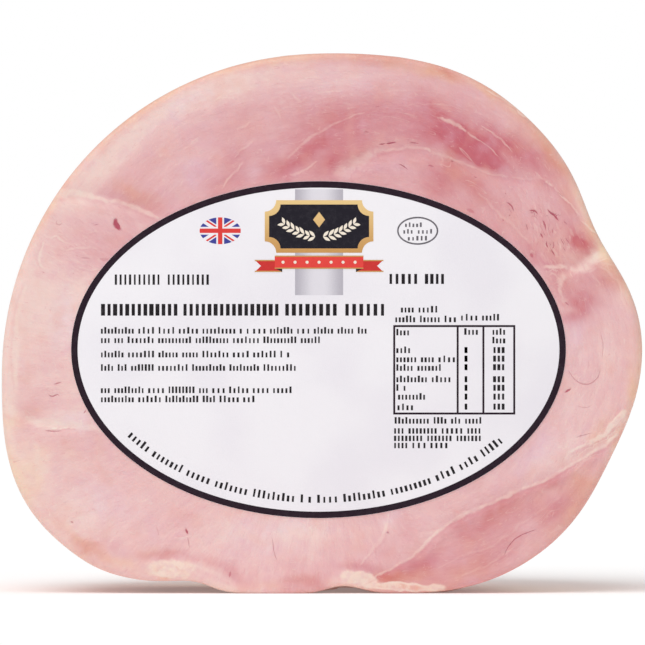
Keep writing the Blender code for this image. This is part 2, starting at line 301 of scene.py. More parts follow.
# Where the muscle has parted along many short creases: across, up, half length, half width, tilt, amount
CREASED_PATCHES = (
    (78, 127, 13, 8, -55, 0.9),
    (88, 121, 6, 4, -60, 0.5),
    (83, 108, 5, 4, -70, 0.7),
    (-88, 120, 11, 10, 0, 0.6),
    (-93, 70, 8, 5, 0, 0.5),
    (-97, 57, 8, 4, 0, 0.5),
    (93, 76, 8, 8, 0, 0.4),
    (14, 149, 9, 4, 30, 0.5),
    (94, 53, 9, 4, 30, 0.6),
    (22, 170, 22, 5, -4, 0.35),
    (-50, 16, 12, 6, 0, 0.4),
    (66, 16, 9, 6, 30, 0.4),
    (-10, 172, 14, 5, 10, 0.35),
)

# Fat that the cut crosses: across, up, half length, half width, tilt
FAT_PATCHES = (
    (-53.5, 8.6, 9.5, 3.6, -4),
    (13.0, 5.4, 8.0, 2.6, -8),
    (28.0, 2.4, 15.0, 1.6, -3),
    (102.5, 60.0, 6.0, 1.6, 48),
)

# Where a muscle is redder than its tint, or below 0 paler: across, up, half length, half width, tilt, amount
RED_PATCHES = (
    # upper muscle
    (2, 158, 25, 10, 12, 0.42),
    (-3, 168, 9, 5, 25, 0.12),
    (38, 165, 24, 7, -14, 0.50),
    (42, 158.5, 9, 3.4, -8, 0.2),
    (55, 154, 9.5, 3.2, -40, 0.80),
    (60, 153, 9, 4.5, -42, 0.24),
    (73, 153, 13, 4.5, -42, 0.40),
    (58, 158, 17, 7, -42, 0.15),
    (51, 168, 6, 3, -30, -0.16),
    (-48, 174, 13, 6, 32, -0.24),
    (38, 170, 9, 3, -8, 0.2),
    (9, 166, 7, 3, 10, 0.12),
    (46, 149, 4, 7, -10, 0.22),
    (65, 157.5, 7, 3, -40, 0.18),
    (44, 182, 4, 1.5, -20, 0.3),
    (-28, 179, 12, 4, 15, -0.14),
    (-13, 148.5, 8, 4, 20, 0.4),
    (-12, 153.5, 3, 3, 0, -0.26),
    (47, 155, 7, 2.6, -28, 0.2),
    (60, 150.5, 8, 2, -20, 0.12),
    (3, 151, 8, 4, 40, 0.3),
    (-33, 143, 7, 4, 30, 0.22),
    (-25, 168, 13, 6, 28, 0.05),
    (-63, 137.5, 12, 4.5, -20, 0.2),
    (-60, 131, 8, 3, -22, 0.14),
    (-90, 133, 8, 5, 45, 0.12),
    (-31, 151, 4, 6, 0, 0.18),
    (-17, 161, 8, 4.5, 20, -0.1),
    (28, 167, 8, 5, 0, -0.22),
    (0, 181, 22, 6, 0, -0.24),
    (-38, 174, 14, 5, 25, -0.18),
    (-72, 152, 20, 5, 45, -0.26),
    (-45, 152, 7, 7, 0, -0.1),
    (-2, 151, 8, 2.2, 45, -0.16),
    (-3, 157.5, 10, 2.5, 38, 0.17),
    (-22, 149, 5, 3, 0, -0.16),
    (67, 166, 9, 5, -40, -0.12),
    (-78, 145, 6, 3, 0, 0.08),
    # under the arch seam
    (25, 149, 13, 5, 0, -0.12),
    (10, 148, 8, 4, 25, -0.1),
    (40, 144.5, 6, 4, -60, 0.3),
    (9.5, 151.5, 4, 2, 30, 0.16),
    (53, 142.5, 7, 4, -45, 0.28),
    (60, 146, 7, 2.5, -20, -0.12),
    (74, 140, 12, 6, -30, -0.14),
    (84, 148, 8, 3, -60, 0.22),
    (85, 122, 3.5, 6, 0, -0.26),
    (86, 134, 5, 9, -30, 0.1),
    (90.2, 123, 5, 3.1, -52, 0.76),
    (93, 118, 3, 3, 0, -0.3),
    (98.5, 118.5, 5, 3, -58, -0.34),
    (83, 119, 3, 5, 0, 0.16),
    (76, 117, 8, 3, -45, 0.15),
    # right lobe
    (83, 108, 7, 4, -60, 0.3),
    (93, 110, 6, 2.5, -10, 0.22),
    (102, 110, 6, 5, -50, 0.38),
    (90.5, 101.5, 5, 5, 0, 0.58),
    (86.5, 100.2, 3.2, 1.3, -15, -0.3),
    (106, 106.5, 3, 5, -20, -0.2),
    (87, 97, 3, 2, 20, 0.2),
    (97, 114, 5, 1.6, -10, 0.15),
    (104, 84, 16, 8, 90, -0.04),
    (91, 87, 8, 5, 90, -0.1),
    (88, 64, 10, 5, 60, -0.14),
    (95, 54, 14, 3, 56, 0.02),
    (99, 63, 7, 2.4, 60, -0.1),
    (100, 83, 2, 9, 0, -0.16),
    (104.5, 60, 5, 2, 50, 0.2),
    (93, 43, 4, 2.6, 20, -0.1),
    (84, 49, 12, 5, 35, -0.2),
    # lower right muscle
    (57, 26, 12, 5, 32, 0.3),
    (81, 29, 9, 5, 35, 0.22),
    (80, 39, 5, 2.5, 20, 0.15),
    (80, 34, 4, 2, 20, -0.2),
    (66, 12, 7, 3, 30, -0.16),
    (29, 22, 4, 4, 0, 0.14),
    (72, 35, 7, 2.2, 25, 0.06),
    (33, 9.5, 9, 3.5, 35, 0.32),
    (22.5, 5.0, 4, 2.0, 10, 0.3),
    (14, 8.5, 8, 2.2, -10, 0.34),
    (22, 14.5, 4, 3, 0, 0.16),
    (38, 11, 3, 4, 0, 0.12),
    (73, 24.5, 3, 2.5, 0, -0.2),
    (52, 27, 4, 2, 20, -0.12),
    (82, 24, 12, 3, 45, -0.14),
    (60, 13, 12, 4, 22, 0.18),
    (42, 18, 7, 4, 0, -0.16),
    (73, 19, 6, 4, 30, -0.16),
    # left and lower left muscles
    (-72, 122, 13, 10, 0, 0.28),
    (-90, 124, 12, 13, 0, 0.07),
    (-92, 102, 10, 8, 0, -0.26),
    (-104, 93, 12, 6, 90, -0.08),
    (-76, 53, 9, 7, -20, 0.08),
    (-100, 47, 5, 8, 0, -0.24),
    (-95, 61, 10, 2.6, 0, -0.12),
    (-82, 16.4, 6, 1.9, -38, 0.34),
    (-74, 17, 5, 2.5, -20, 0.12),
    (-90, 59.5, 14, 2, 0, -0.1),
    (-93, 53, 10, 4, 0, 0.12),
    (-101, 64, 6, 5, 0, 0.2),
    (-86, 29, 13, 7, -30, -0.14),
    # bottom
    (-55, 13.2, 10, 1.8, -2, 0.32),
    (-50, 26, 10, 7, 0, 0.1),
    (-33, 8, 9, 3, -22, 0.3),
    (-38, 21, 8, 4, 0, -0.12),
    (-8, 22, 16, 4, 0, -0.22),
    (-5, 3.6, 7, 2.8, 5, 0.44),
    (-14, 4, 5, 2.2, 0, 0.08),
    (-8, 9.5, 8, 2.5, 0, 0.12),
    (-37, 5.5, 8, 2, -20, -0.1),
    (3.5, 4.5, 4, 2, 0, -0.2),
    (24, 25, 4, 3, 0, -0.22),
)

# Orange tints, or below 0 cooler pinks: across, up, half length, half width, tilt, amount
WARM_PATCHES = (
    # upper muscle and under the arch seam
    (42, 181.5, 8, 2.2, -18, 0.6),
    (58, 176, 4, 1.4, -32, 0.6),
    (66, 170, 8, 2.4, -38, 0.25),
    (80, 155, 11, 3, -58, 0.7),
    (46, 155, 5, 3, -20, 0.3),
    (70, 160, 12, 5, -45, 0.3),
    (38, 169, 9, 3, 0, 0.2),
    (52, 166, 6, 6, 0, -0.3),
    (44, 149, 5, 5, 0, 0.3),
    (56, 141, 6, 4, -40, 0.2),
    (83, 120, 8, 5, -20, 0.4),
    (50, 143, 13, 5, -35, 0.2),
    (0, 163, 9, 5, 40, 0.35),
    (6, 151, 14, 3, 30, 0.3),
    (-66, 139.5, 11, 3.5, -20, 0.5),
    (-57, 151, 6, 5, 45, 0.3),
    (-14, 150, 4, 3, 42, 0.3),
    (-31, 155, 6, 6, 0, 0.25),
    (-46, 172, 18, 5, 32, -0.2),
    (-48, 174, 8, 5, 32, -0.25),
    (-45, 147, 7, 9, 0, -0.3),
    (-24, 148, 6, 5, 0, -0.35),
    (8, 178, 16, 4, 0, -0.3),
    (25, 165, 10, 5, 0, -0.2),
    (70, 143, 8, 4, 0, -0.25),
    (24, 148, 12, 3.5, 0, -0.3),
    (5, 147.5, 8, 2.5, 10, -0.35),
    (68, 128, 5, 6, 0, 0.25),
    (28, 184, 12, 3, -8, 0.35),
    (-38, 149, 9, 5, 0, -0.2),
    # right lobe and right rim
    (86, 139, 4, 10, 25, 0.35),
    (92, 123, 4.5, 7, 15, 0.25),
    (108.5, 74, 2, 10, 10, 0.4),
    (101, 111, 7, 5, -50, 0.5),
    (91, 102, 4, 4, 0, 0.4),
    (95, 128, 3, 6, 20, 0.4),
    (84, 108, 6, 4, -60, 0.3),
    (90, 90, 10, 6, 90, -0.45),
    (82, 55, 14, 6, 52, -0.25),
    (72, 47, 12, 4, 45, -0.3),
    # lower right muscle
    (84, 38, 10, 3, 15, 0.3),
    (60, 27, 16, 5, 34, 0.4),
    (87, 28, 12, 5, 48, 0.5),
    (60, 15, 12, 4, 25, 0.3),
    (98, 56, 12, 4, 55, 0.45),
    (50, 7, 10, 3, 15, 0.4),
    (33, 6.5, 8, 3, 15, 0.5),
    (92, 38, 4, 6, -40, 0.4),
    (23, 4.5, 7, 2.4, 0, 0.7),
    (15, 6, 9, 2.4, -6, -0.1),
    (25, 27, 5, 3, 0, -0.5),
    # left and lower left muscles
    (-90, 96, 6, 12, 0, -0.4),
    (-97, 101, 5, 4, 20, 0.1),
    (-84, 60, 11, 3.5, -8, -0.45),
    (-76, 33, 14, 8, -30, -0.35),
    (-90, 47, 7, 6, 0, 0.25),
    (-78, 51, 3, 4, 30, 0.35),
    (-106, 60, 5, 4, 0, 0.45),
    (-101, 48, 5, 8, 15, 0.2),
    (-70, 11, 9, 2.4, -10, 0.4),
    (-100, 65, 5, 3, 0, 0.3),
    # bottom
    (-82, 17, 6, 1.8, -38, 0.4),
    (-101, 39, 4, 7, 25, 0.35),
    (-88, 22, 10, 3, -40, 0.3),
    (-16, 24, 14, 3, 0, -0.25),
    (-22, 16, 18, 5, 0, -0.3),
    (0, 23, 30, 3.0, 0, -0.15),
    (-18, 2.5, 5, 2, 4, 0.4),
    (-5, 4, 7, 3, 4, 0.38),
    (-58, 14, 10, 2.5, 0, 0.35),
    (-55, 7, 4, 1.6, -10, 0.6),
)

# The rim of the cut: angle, spread, width, how much paler, or below 0 redder, how much warmer; the paler rim
# is partly the meat's own tint, partly painted light wrapping round the edge
RIM_TINTS = (
    (135.0, 20.0, 11.0, 0.20, 0.00),
    (117.0, 17.0, 3.4, -0.22, 0.30),
    (120.0, 22.0, 5.0, 0.04, 0.58),
    (97.0, 9.0, 4.6, 0.04, 0.55),
    (82.0, 11.0, 4.4, -0.20, 0.55),
    (60.0, 14.0, 4.0, -0.02, 0.40),
    (35.0, 6.0, 3.0, 0.30, 0.30),
    (22.0, 7.0, 6.0, 0.12, 0.45),
    (4.0, 12.0, 4.0, 0.06, 0.60),
    (347.0, 6.0, 4.0, 0.22, 0.45),
    (322.0, 14.0, 5.0, 0.02, 0.15),
    (296.0, 8.0, 4.0, 0.02, 0.40),
    (281.0, 8.0, 3.0, 0.22, 0.35),
    (264.0, 5.0, 3.0, -0.10, 0.40),
    (244.0, 9.0, 3.4, 0.12, 0.25),
    (217.0, 7.0, 6.0, -0.02, 0.25),
    (198.0, 12.0, 4.0, 0.10, 0.45),
    (174.0, 15.0, 5.0, 0.38, 0.12),
    (150.0, 9.0, 4.0, -0.08, 0.45),
)

# On the skin: fat and browned places, each as angle, depth, half angle, half depth
SKIN_FAT = (
    (122, 30, 34, 42),
    (24, 14, 6, 30),
    (196, 44, 12, 30),
    (322, 50, 12, 40),
    (60, 92, 34, 18),
    (250, 84, 26, 16),
)
SKIN_BROWNED = (
    (92, 60, 40, 26),
    (46, 30, 18, 26),
    (350, 84, 24, 20),
    (172, 88, 26, 20),
    (212, 22, 14, 18),
    (250, 60, 20, 20),
    (316, 18, 10, 16),
)
SKIN_GIRTH = 1.8  # millimetres of skin for one degree
SKIN_REDNESS = 0.36
SKIN_REDNESS_SWING = 0.16
SKIN_TURN_BEND = 7.0
SKIN_DEPTH_BEND = 6.0
# How deep a skin groove must be for its painted shade to be full
SEAM_GROOVE = 2.5  # the depth of groove that counts as a full seam of the skin

# Fine relief of the skin
SKIN_LUMP_HEIGHT = 0.9
SKIN_FOLD_DEPTH = 0.9
SKIN_CREASE_DEPTH = 0.4
FOLD_SQUEEZE = (0.35, 0.35, 1.0)
CREASE_SQUEEZE = (1.0, 1.0, 0.4)
SKIN_RELIEF_START = 4.0
SKIN_RELIEF_FADE_IN = 24.0

# Fine relief of the cut face
MEAT_LUMP_HEIGHT = 0.22
FIBRE_DEPTH = 0.05
GAP_DEPTH = 0.5
PALE_HEIGHT = 0.1
FAT_HEIGHT = 0.25

# How lines and patches of the cut face are drawn
FAR_OFFSET = 20.0  # half widths from a line, past which it makes no difference
LINE_END = 1.5  # longest fade at a line's end
LINE_SIDE = 2.0  # how far beside a line its strength still counts
MARK_TIP = 0.3  # share of a dark mark's width that is left at its ends
PATCH_FALL = 0.9
TINT_BEND = 1.3
LINE_BEND = 0.45
MARK_BEND = 0.1
FAT_BEND = 0.12

# Seeds of the noises
TINT_SEEDS = (11, 17)
LINE_SEEDS = (31, 37)
FAT_SEED = 41
FIBRE_SEED = 51
MEAT_LUMP_SEED = 53
SKIN_LUMP_SEED = 61
FOLD_SEED = 67
CREASE_SEED = 71
SKIN_BEND_SEEDS = (73, 79)
SKIN_RED_SEED = 83
NOISE_KNOTS = 32
RING_RADIUS = 100.0

# Own tint of each muscle, from 0, pale, to 1, deep pink
UPPER_TINT = 0.33
UNDER_ARCH_TINT = 0.48
LEFT_TINT = 0.13
LOWER_LEFT_TINT = 0.17
RIGHT_LOBE_TINT = 0.27
BOTTOM_TINT = 0.26
LOWER_RIGHT_TINT = 0.50

# Fineness of the ham's mesh
FACE_SPOKES = 1080
SKIN_SPOKES = 540
FACE_RINGS = 48
EDGE_RINGS = 6
FLANK_RINGS = 20
DOME_RINGS = 44

# The paper label
LABEL_SIDE = (label_low.x + label_high.x) / 2 / MM
LABEL_HEIGHT = (label_low.z + label_high.z) / 2 / MM
LABEL_HALF_WIDTH = (label_high.x - label_low.x) / 2 / MM
LABEL_HALF_HEIGHT = (label_high.z - label_low.z) / 2 / MM
PAPER_FRONT = label_low.y / MM + 0.06
PAPER_THICKNESS = 0.3
MEAT_UNDER_PAPER = PAPER_FRONT + PAPER_THICKNESS - 0.02
UNDER_PAPER_SHARE = 0.93
FLAT_MARGIN = 1.03
FLAT_RAMP = 0.10
PAPER_RAMP = 0.06
PRINT_STEP = 0.025
BORDER_WIDTH = 2.3
OVAL_SIDES = 256


def smooth_step(value):
    """0 below 0, 1 above 1, and a smooth ramp between."""
    share = np.clip(value, 0.0, 1.0)
    return share * share * (3.0 - 2.0 * share)


def bump(angle, centre, spread):
    """A smooth hump of height 1 around an angle."""
    away = (angle - centre + 180.0) % 360.0 - 180.0
    return np.exp(-((away / spread) ** 2))


def outline_radius(angle, lobe_share=1.0):
    """Radius of the ham's widest outline, from the core."""
    across = np.cos(np.radians(angle))
    up = np.sin(np.radians(angle))
    half_width = np.where(across >= 0, HALF_WIDTH_RIGHT, HALF_WIDTH_LEFT)
    half_height = np.where(up >= 0, RISE, DROP)
    upper = np.where(across >= 0, SQUARENESS_TOP_RIGHT, SQUARENESS_TOP_LEFT)
    lower = np.where(across >= 0, SQUARENESS_LOWER_RIGHT, SQUARENESS_LOWER_LEFT)
    squareness = np.where(up >= 0, upper, lower)
    total = np.abs(across / half_width) ** squareness + np.abs(up / half_height) ** squareness
    lobes = sum(height * bump(angle, centre, spread) for centre, spread, height in OUTLINE_LOBES)
    return total ** (-1.0 / squareness) + lobe_share * lobes


def skin_groove(angle, depth):
    """Depth of the grooves that run back over the skin."""
    share = depth / BODY_DEPTH
    strength = smooth_step((depth - GROOVE_START) / GROOVE_FADE_IN)
    strength *= 1.0 - smooth_step((share - GROOVE_FADE_OUT) / (1.0 - GROOVE_FADE_OUT))
    return strength * sum(
        deep * bump(angle, centre + drift * share, spread) for centre, spread, drift, deep in SKIN_GROOVES
    )


def skin_hollow(angle, depth):
    """Depth of the low hollows between the swells of the skin."""
    hollows = sum(
        deep * (1.0 - np.sin(np.radians(count * angle) + turn * depth + first_turn))
        for deep, count, turn, first_turn in SKIN_HOLLOWS
    )
    return smooth_step((depth - HOLLOW_START) / HOLLOW_FADE_IN) * hollows


def sag(angle, depth):
    """How far the underside hangs down behind the cut edge."""
    return sum(
        height * bump(angle, centre, spread) * smooth_step((depth - start) / (full - start))
        for centre, spread, height, start, full in RESTING_LOBES
    )


def lattice_noise(points, cell, seed):
    """Smooth noise from -1 to 1 at points of two or three coordinates, with knots one cell apart."""
    table = np.random.default_rng(seed).uniform(-1.0, 1.0, (NOISE_KNOTS,) * 3)
    grid = np.zeros((len(points), 3))
    grid[:, : points.shape[1]] = points / cell
    knot = np.floor(grid).astype(int)
    part = smooth_step(grid - knot)
    total = np.zeros(len(points))
    for corner in np.ndindex(2, 2, 2):
        place = (knot + corner) % NOISE_KNOTS
        weight = np.prod(np.where(corner, part, 1.0 - part), axis=1)
        total += weight * table[place[:, 0], place[:, 1], place[:, 2]]
    return total


def layered_noise(points, cell, seed, layers=3):
    """Noise with finer, weaker layers on top of the first."""
    return sum(lattice_noise(points, cell / 2**layer, seed + layer) / 2**layer for layer in range(layers))


def bend(places, cell, seeds):
    """Smooth moves across and up, with a seed for each, that keep soft outlines from being too even."""
    return np.stack([layered_noise(places, cell, seed) for seed in seeds], axis=1)


def smooth_path(points, steps=5):
    """A path through the points without corners."""
    knots = np.array(points, float)
    if len(knots) < 3:
        return knots
    ends = np.vstack([2 * knots[0] - knots[1], knots, 2 * knots[-1] - knots[-2]])
    path = []
    for a, b, c, d in zip(ends, ends[1:], ends[2:], ends[3:]):
        for share in np.arange(steps) / steps:
            turn = (c - a) * share + (2 * a - 5 * b + 4 * c - d) * share**2
            turn = turn + (3 * b - a - 3 * c + d) * share**3
            path.append(b + turn / 2)
    path.append(knots[-1])
    return np.array(path)


def along_path(places, points):
    """How far each place is from a path, positive to its left, how far along, and the path's length."""
    path = smooth_path(points)
    nearest = np.full(len(places), np.inf)
    side = np.ones(len(places))
    run_to = np.zeros(len(places))
    length = 0.0
    for start, end in zip(path, path[1:]):
        run = end - start
        step = math.hypot(*run)
        offset = places - start
        share = np.clip(offset @ run / step**2, 0.0, 1.0)
        gap = offset - share[:, None] * run
        distance = np.hypot(gap[:, 0], gap[:, 1])
        closer = distance < nearest
        nearest[closer] = distance[closer]
        side[closer] = np.where(run[0] * gap[closer, 1] - run[1] * gap[closer, 0] >= 0, 1.0, -1.0)
        run_to[closer] = length + share[closer] * step
        length += step
    return nearest * side, run_to, length


def drawn_lines(places, lines):
    """The offset in half widths from the line nearest to each place, with its side, and its strength."""
    nearest = np.full(len(places), np.inf)
    offset = np.full(len(places), FAR_OFFSET)
    strength = np.zeros(len(places))
    for points, half_widths, full_strength in lines:
        distance, run_to, length = along_path(places, points)
        half_width = np.interp(run_to / length, np.linspace(0.0, 1.0, len(half_widths)), half_widths)
        gap = np.abs(distance) - half_width
        end_ramp = min(length / 5, LINE_END)
        ends = smooth_step(run_to / end_ramp) * smooth_step((length - run_to) / end_ramp)
        beside = smooth_step(LINE_SIDE - gap)
        closer = gap < nearest
        nearest[closer] = gap[closer]
        offset[closer] = (distance / half_width)[closer]
        strength[closer] = (full_strength * ends * beside)[closer]
    return np.clip(offset, -FAR_OFFSET, FAR_OFFSET), strength


def patch_reach(places, across, up, half_length, half_width, tilt):
    """Distance of each place from a patch's middle, 1 at its outline."""
    turn = math.radians(tilt)
    away = places - (across, up)
    along = (away[:, 0] * math.cos(turn) + away[:, 1] * math.sin(turn)) / half_length
    aside = (away[:, 1] * math.cos(turn) - away[:, 0] * math.sin(turn)) / half_width
    return np.hypot(along, aside)


def soft_patches(places, patches):
    """The amounts of all soft patches at each place."""
    return sum(
        amount * np.exp(-(patch_reach(places, *patch) ** 2) * PATCH_FALL) for *patch, amount in patches
    )


def label_reach(places):
    """Distance of each place from the label's middle, 1 at its outline."""
    return patch_reach(places, LABEL_SIDE, LABEL_HEIGHT, LABEL_HALF_WIDTH, LABEL_HALF_HEIGHT, 0.0)


def over_seam(places, seam, ramp):
    """0 below a seam, 1 above it, and a ramp of a given width between."""
    return smooth_step(along_path(places, seam)[0] / ramp + 0.5)


def muscle_shares(places):
    """How far each place belongs to each muscle of the cut face, as shares that sum to 1."""
    across, up = places[:, 0], places[:, 1]
    over_arch = over_seam(places, ARCH_SEAM + ARCH_END, 1.6)
    over_upper_left = over_seam(places, UPPER_LEFT_SEAM, 2.5)
    over_left = over_seam(places, LEFT_SEAM, 3.0)
    over_lower_right = over_seam(places, LOWER_RIGHT_SEAM, 1.4)
    over_fat = over_seam(places, FAT_SEAM, 3.0)
    right = smooth_step(across / 8.0 + 0.5)
    middle_up = smooth_step((up - 100.0) / 10.0)
    upper = np.where(across < 0, over_upper_left, over_arch * over_fat) * middle_up
    under_arch = right * over_fat * (1.0 - over_arch) * middle_up
    lobe = right * over_lower_right * (1.0 - upper - under_arch) * smooth_step((up - 50.0) / 14.0)
    lower_right = right * (1.0 - over_lower_right) * (1.0 - middle_up)
    left = (1.0 - right) * over_left * (1.0 - upper)
    left *= smooth_step((-40.0 - across) / 10.0)
    lower_left = (1.0 - right) * (1.0 - upper) * (1.0 - left)
    bottom = 1.0 - upper - under_arch - lobe - lower_right - left - lower_left
    return upper, under_arch, lobe, lower_right, left, lower_left, bottom


def crossways_share(places):
    """1 where the fibres run from the rim inwards, at the lower left, and 0 where they follow the rim."""
    under_upper_left = 1.0 - over_seam(places, UPPER_LEFT_SEAM, 3.0)
    over_lower_right = over_seam(places, LOWER_RIGHT_SEAM, 3.0)
    return under_upper_left * over_lower_right * smooth_step((35.0 - places[:, 0]) / 14.0)


def meat_tints(places, angle, rim):
    """The redness and warmth of the cut face at each place."""
    bent = places + TINT_BEND * bend(places, 7.0, TINT_SEEDS)
    tints = (
        UPPER_TINT,
        UNDER_ARCH_TINT,
        RIGHT_LOBE_TINT,
        LOWER_RIGHT_TINT,
        LEFT_TINT,
        LOWER_LEFT_TINT,
        BOTTOM_TINT,
    )
    redness = sum(tint_share * share for tint_share, share in zip(tints, muscle_shares(places)))
    redness += soft_patches(bent, RED_PATCHES)
    warmth = soft_patches(bent, WARM_PATCHES)
    # Tints at the rim: warmer, and paler partly with painted light at the edge
    for centre, spread, width, paler, warmer in RIM_TINTS:
        here = bump(angle, centre, spread)
        redness -= paler * here * (1.0 - smooth_step((rim - 0.4 * width) / width))
        warmth += warmer * here * np.exp(-((rim / (0.45 * width + 1.0)) ** 2))
    return redness, np.clip(warmth, -1.0, 1.0)


def face_places(angle, radius):
    """Places across and up, from angles and radii about the core."""
    across = radius * np.cos(np.radians(angle))
    up = CORE_HEIGHT + radius * np.sin(np.radians(angle))
    return np.stack([across.ravel(), up.ravel()], axis=1)


def face_sink(places):
    """How far the cut lies behind its plane: its fall at the edge, seam valleys and the sunk muscle."""
    reach = label_reach(places)
    open_share = smooth_step((reach - FLAT_MARGIN) / FLAT_RAMP)
    fall = FACE_FALL * np.maximum(reach - FLAT_MARGIN, 0.0) ** 2 / FALL_REACH**2
    nearest = np.min([np.abs(along_path(places, seam)[0]) for seam in SEAMS], axis=0)
    valley = SEAM_DEPTH * np.exp(-((nearest / SEAM_SPREAD) ** 2))
    below = -along_path(places, LOWER_RIGHT_SEAM)[0]
    right_share = smooth_step((places[:, 0] - 10.0) / 20.0)
    sunk = LOWER_MUSCLE_SINK * right_share * smooth_step(below / LOWER_MUSCLE_RAMP)
    return fall + open_share * np.maximum(valley, sunk)


def label_inner_radius(angle):
    """Where each spoke from the core leaves the hidden part of the face, under the label."""
    across = np.cos(np.radians(angle))
    up = np.sin(np.radians(angle))
    wide = (UNDER_PAPER_SHARE * LABEL_HALF_WIDTH) ** 2
    high = (UNDER_PAPER_SHARE * LABEL_HALF_HEIGHT) ** 2
    side, rise = -LABEL_SIDE, CORE_HEIGHT - LABEL_HEIGHT
    square = across**2 / wide + up**2 / high
    half = side * across / wide + rise * up / high
    rest = side**2 / wide + rise**2 / high - 1.0
    return (-half + np.sqrt(half**2 - square * rest)) / square


def around(angle):
    """Where an angle lies on a ring, so that patterns meet without a join."""
    return RING_RADIUS * np.cos(np.radians(angle)), RING_RADIUS * np.sin(np.radians(angle))


def cut_values(places, angles, rim):
    """Named values for the finish, at places on the cut face and its rounded edge."""
    redness, warmth = meat_tints(places, angles, rim)
    wobble = bend(places, 3.0, LINE_SEEDS)
    bent = places + LINE_BEND * wobble
    pale_offset, pale_strength = drawn_lines(bent, PALE_LINES)
    marks = [
        (points, (MARK_TIP * width, width, MARK_TIP * width), strength)
        for points, width, strength in DARK_MARKS
    ]
    dark_offset, dark_strength = drawn_lines(places + MARK_BEND * wobble, marks)
    fat_reach = np.min([patch_reach(bent, *patch) for patch in FAT_PATCHES], axis=0)
    fat_reach += FAT_BEND * layered_noise(places, 5.0, FAT_SEED)
    turn_side, turn_up = around(angles)
    return {
        "redness": redness,
        "warmth": warmth,
        "rim": rim,
        "pale_offset": pale_offset,
        "pale_strength": pale_strength,
        "dark_offset": dark_offset,
        "dark_strength": dark_strength,
        "fat_reach": fat_reach,
        "creased": soft_patches(bent, CREASED_PATCHES),
        "crossways": crossways_share(places),
        "seam": np.zeros(len(places)),
        "lengthways": np.ones(len(places)),
        "turn_side": turn_side,
        "turn_up": turn_up,
    }


def ham_face(angle):
    """Rings of the cut face, from under the label to the cut edge, as points and as named values at them."""
    edge = outline_radius(angle) - EDGE_RADIUS - SWELL
    inner = label_inner_radius(angle)
    share = np.arange(FACE_RINGS + 1)[:, None] / FACE_RINGS
    radius = inner + share * (edge - inner)
    angles = np.broadcast_to(angle, radius.shape)
    places = face_places(angles, radius)
    rim = (edge + EDGE_RADIUS - radius).ravel()
    values = cut_values(places, angles.ravel(), rim)

    reach = label_reach(places)
    open_share = smooth_step((reach - 1.0) / FLAT_RAMP)
    turns = np.stack(around(angles.ravel()), axis=1)
    fibres = lattice_noise(np.column_stack([turns / 8.0, rim / 2.2]), 1.0, FIBRE_SEED)
    lumps = layered_noise(places, 13.0, MEAT_LUMP_SEED)
    pale = values["pale_strength"] * np.exp(-(values["pale_offset"] ** 2))
    dark = values["dark_strength"] * np.exp(-(values["dark_offset"] ** 2))
    fat = 1.0 - smooth_step((values["fat_reach"] - 0.8) / 0.4)
    relief = MEAT_LUMP_HEIGHT * lumps + FIBRE_DEPTH * fibres
    relief = relief + GAP_DEPTH * dark - PALE_HEIGHT * pale - FAT_HEIGHT * fat
    lift = (CUT_PLANE - MEAT_UNDER_PAPER) * (1.0 - smooth_step((reach - 1.0) / PAPER_RAMP))
    depth = face_sink(places) + open_share * relief - lift
    points = np.stack([places[:, 0], CUT_PLANE + depth, np.maximum(places[:, 1], 0.0)], axis=1)
    return points, values


def skin_reach(angle, depth, centre, middle, half_turn, half_depth):
    """Distance of places on the skin from a field's middle, 1 at its outline."""
    away = (angle - centre + 180.0) % 360.0 - 180.0
    return np.hypot(away / half_turn, (depth - middle) / half_depth)


def skin_values(points, angle, depth, like):
    """The same named values for the skin behind the cut, and how far fat, browning and the painted shade of
    the grooves count there.
    """
    angle, depth = angle.ravel(), depth.ravel()
    values = {name: np.zeros(angle.size) for name in like}
    turn_bend, depth_bend = bend(points, 15.0, SKIN_BEND_SEEDS).T
    bent_angle = angle + SKIN_TURN_BEND * turn_bend / SKIN_GIRTH
    bent_depth = depth + SKIN_DEPTH_BEND * depth_bend
    values["rim"] = EDGE_RADIUS - depth
    values["redness"] = SKIN_REDNESS + SKIN_REDNESS_SWING * layered_noise(points, 45.0, SKIN_RED_SEED)
    values["pale_offset"] += FAR_OFFSET
    values["dark_offset"] += FAR_OFFSET
    values["fat_reach"] = np.min([skin_reach(bent_angle, bent_depth, *field) for field in SKIN_FAT], axis=0)
    browned = [np.exp(-(skin_reach(bent_angle, bent_depth, *field) ** 2)) for field in SKIN_BROWNED]
    values["warmth"] = np.max(browned, axis=0)
    # The depth of the skin's grooves, which sets their painted shade
    values["seam"] = skin_groove(angle, depth) / SEAM_GROOVE
    values["lengthways"] = 1.0 - smooth_step((depth / BODY_DEPTH - 0.8) / 0.19)
    values["turn_side"], values["turn_up"] = around(angle)
    return values


def ham_edge(angle, face_depth):
    """Rings of the rounded cut edge, from the face to the flank, as points and as named values at them."""
    edge = outline_radius(angle) - EDGE_RADIUS - SWELL
    turn = np.radians(90.0 * np.arange(1, EDGE_RINGS + 1) / EDGE_RINGS)[:, None]
    radius = edge + EDGE_RADIUS * np.sin(turn)
    depth = EDGE_RADIUS * (1.0 - np.cos(turn)) + face_depth * np.cos(turn)
    angles = np.broadcast_to(angle, radius.shape)
    places = face_places(angles, radius)
    values = cut_values(places, angles.ravel(), (edge + EDGE_RADIUS - radius).ravel())
    points = np.stack([places[:, 0], CUT_PLANE + depth.ravel(), np.maximum(places[:, 1], 0.0)], axis=1)
    return points, values


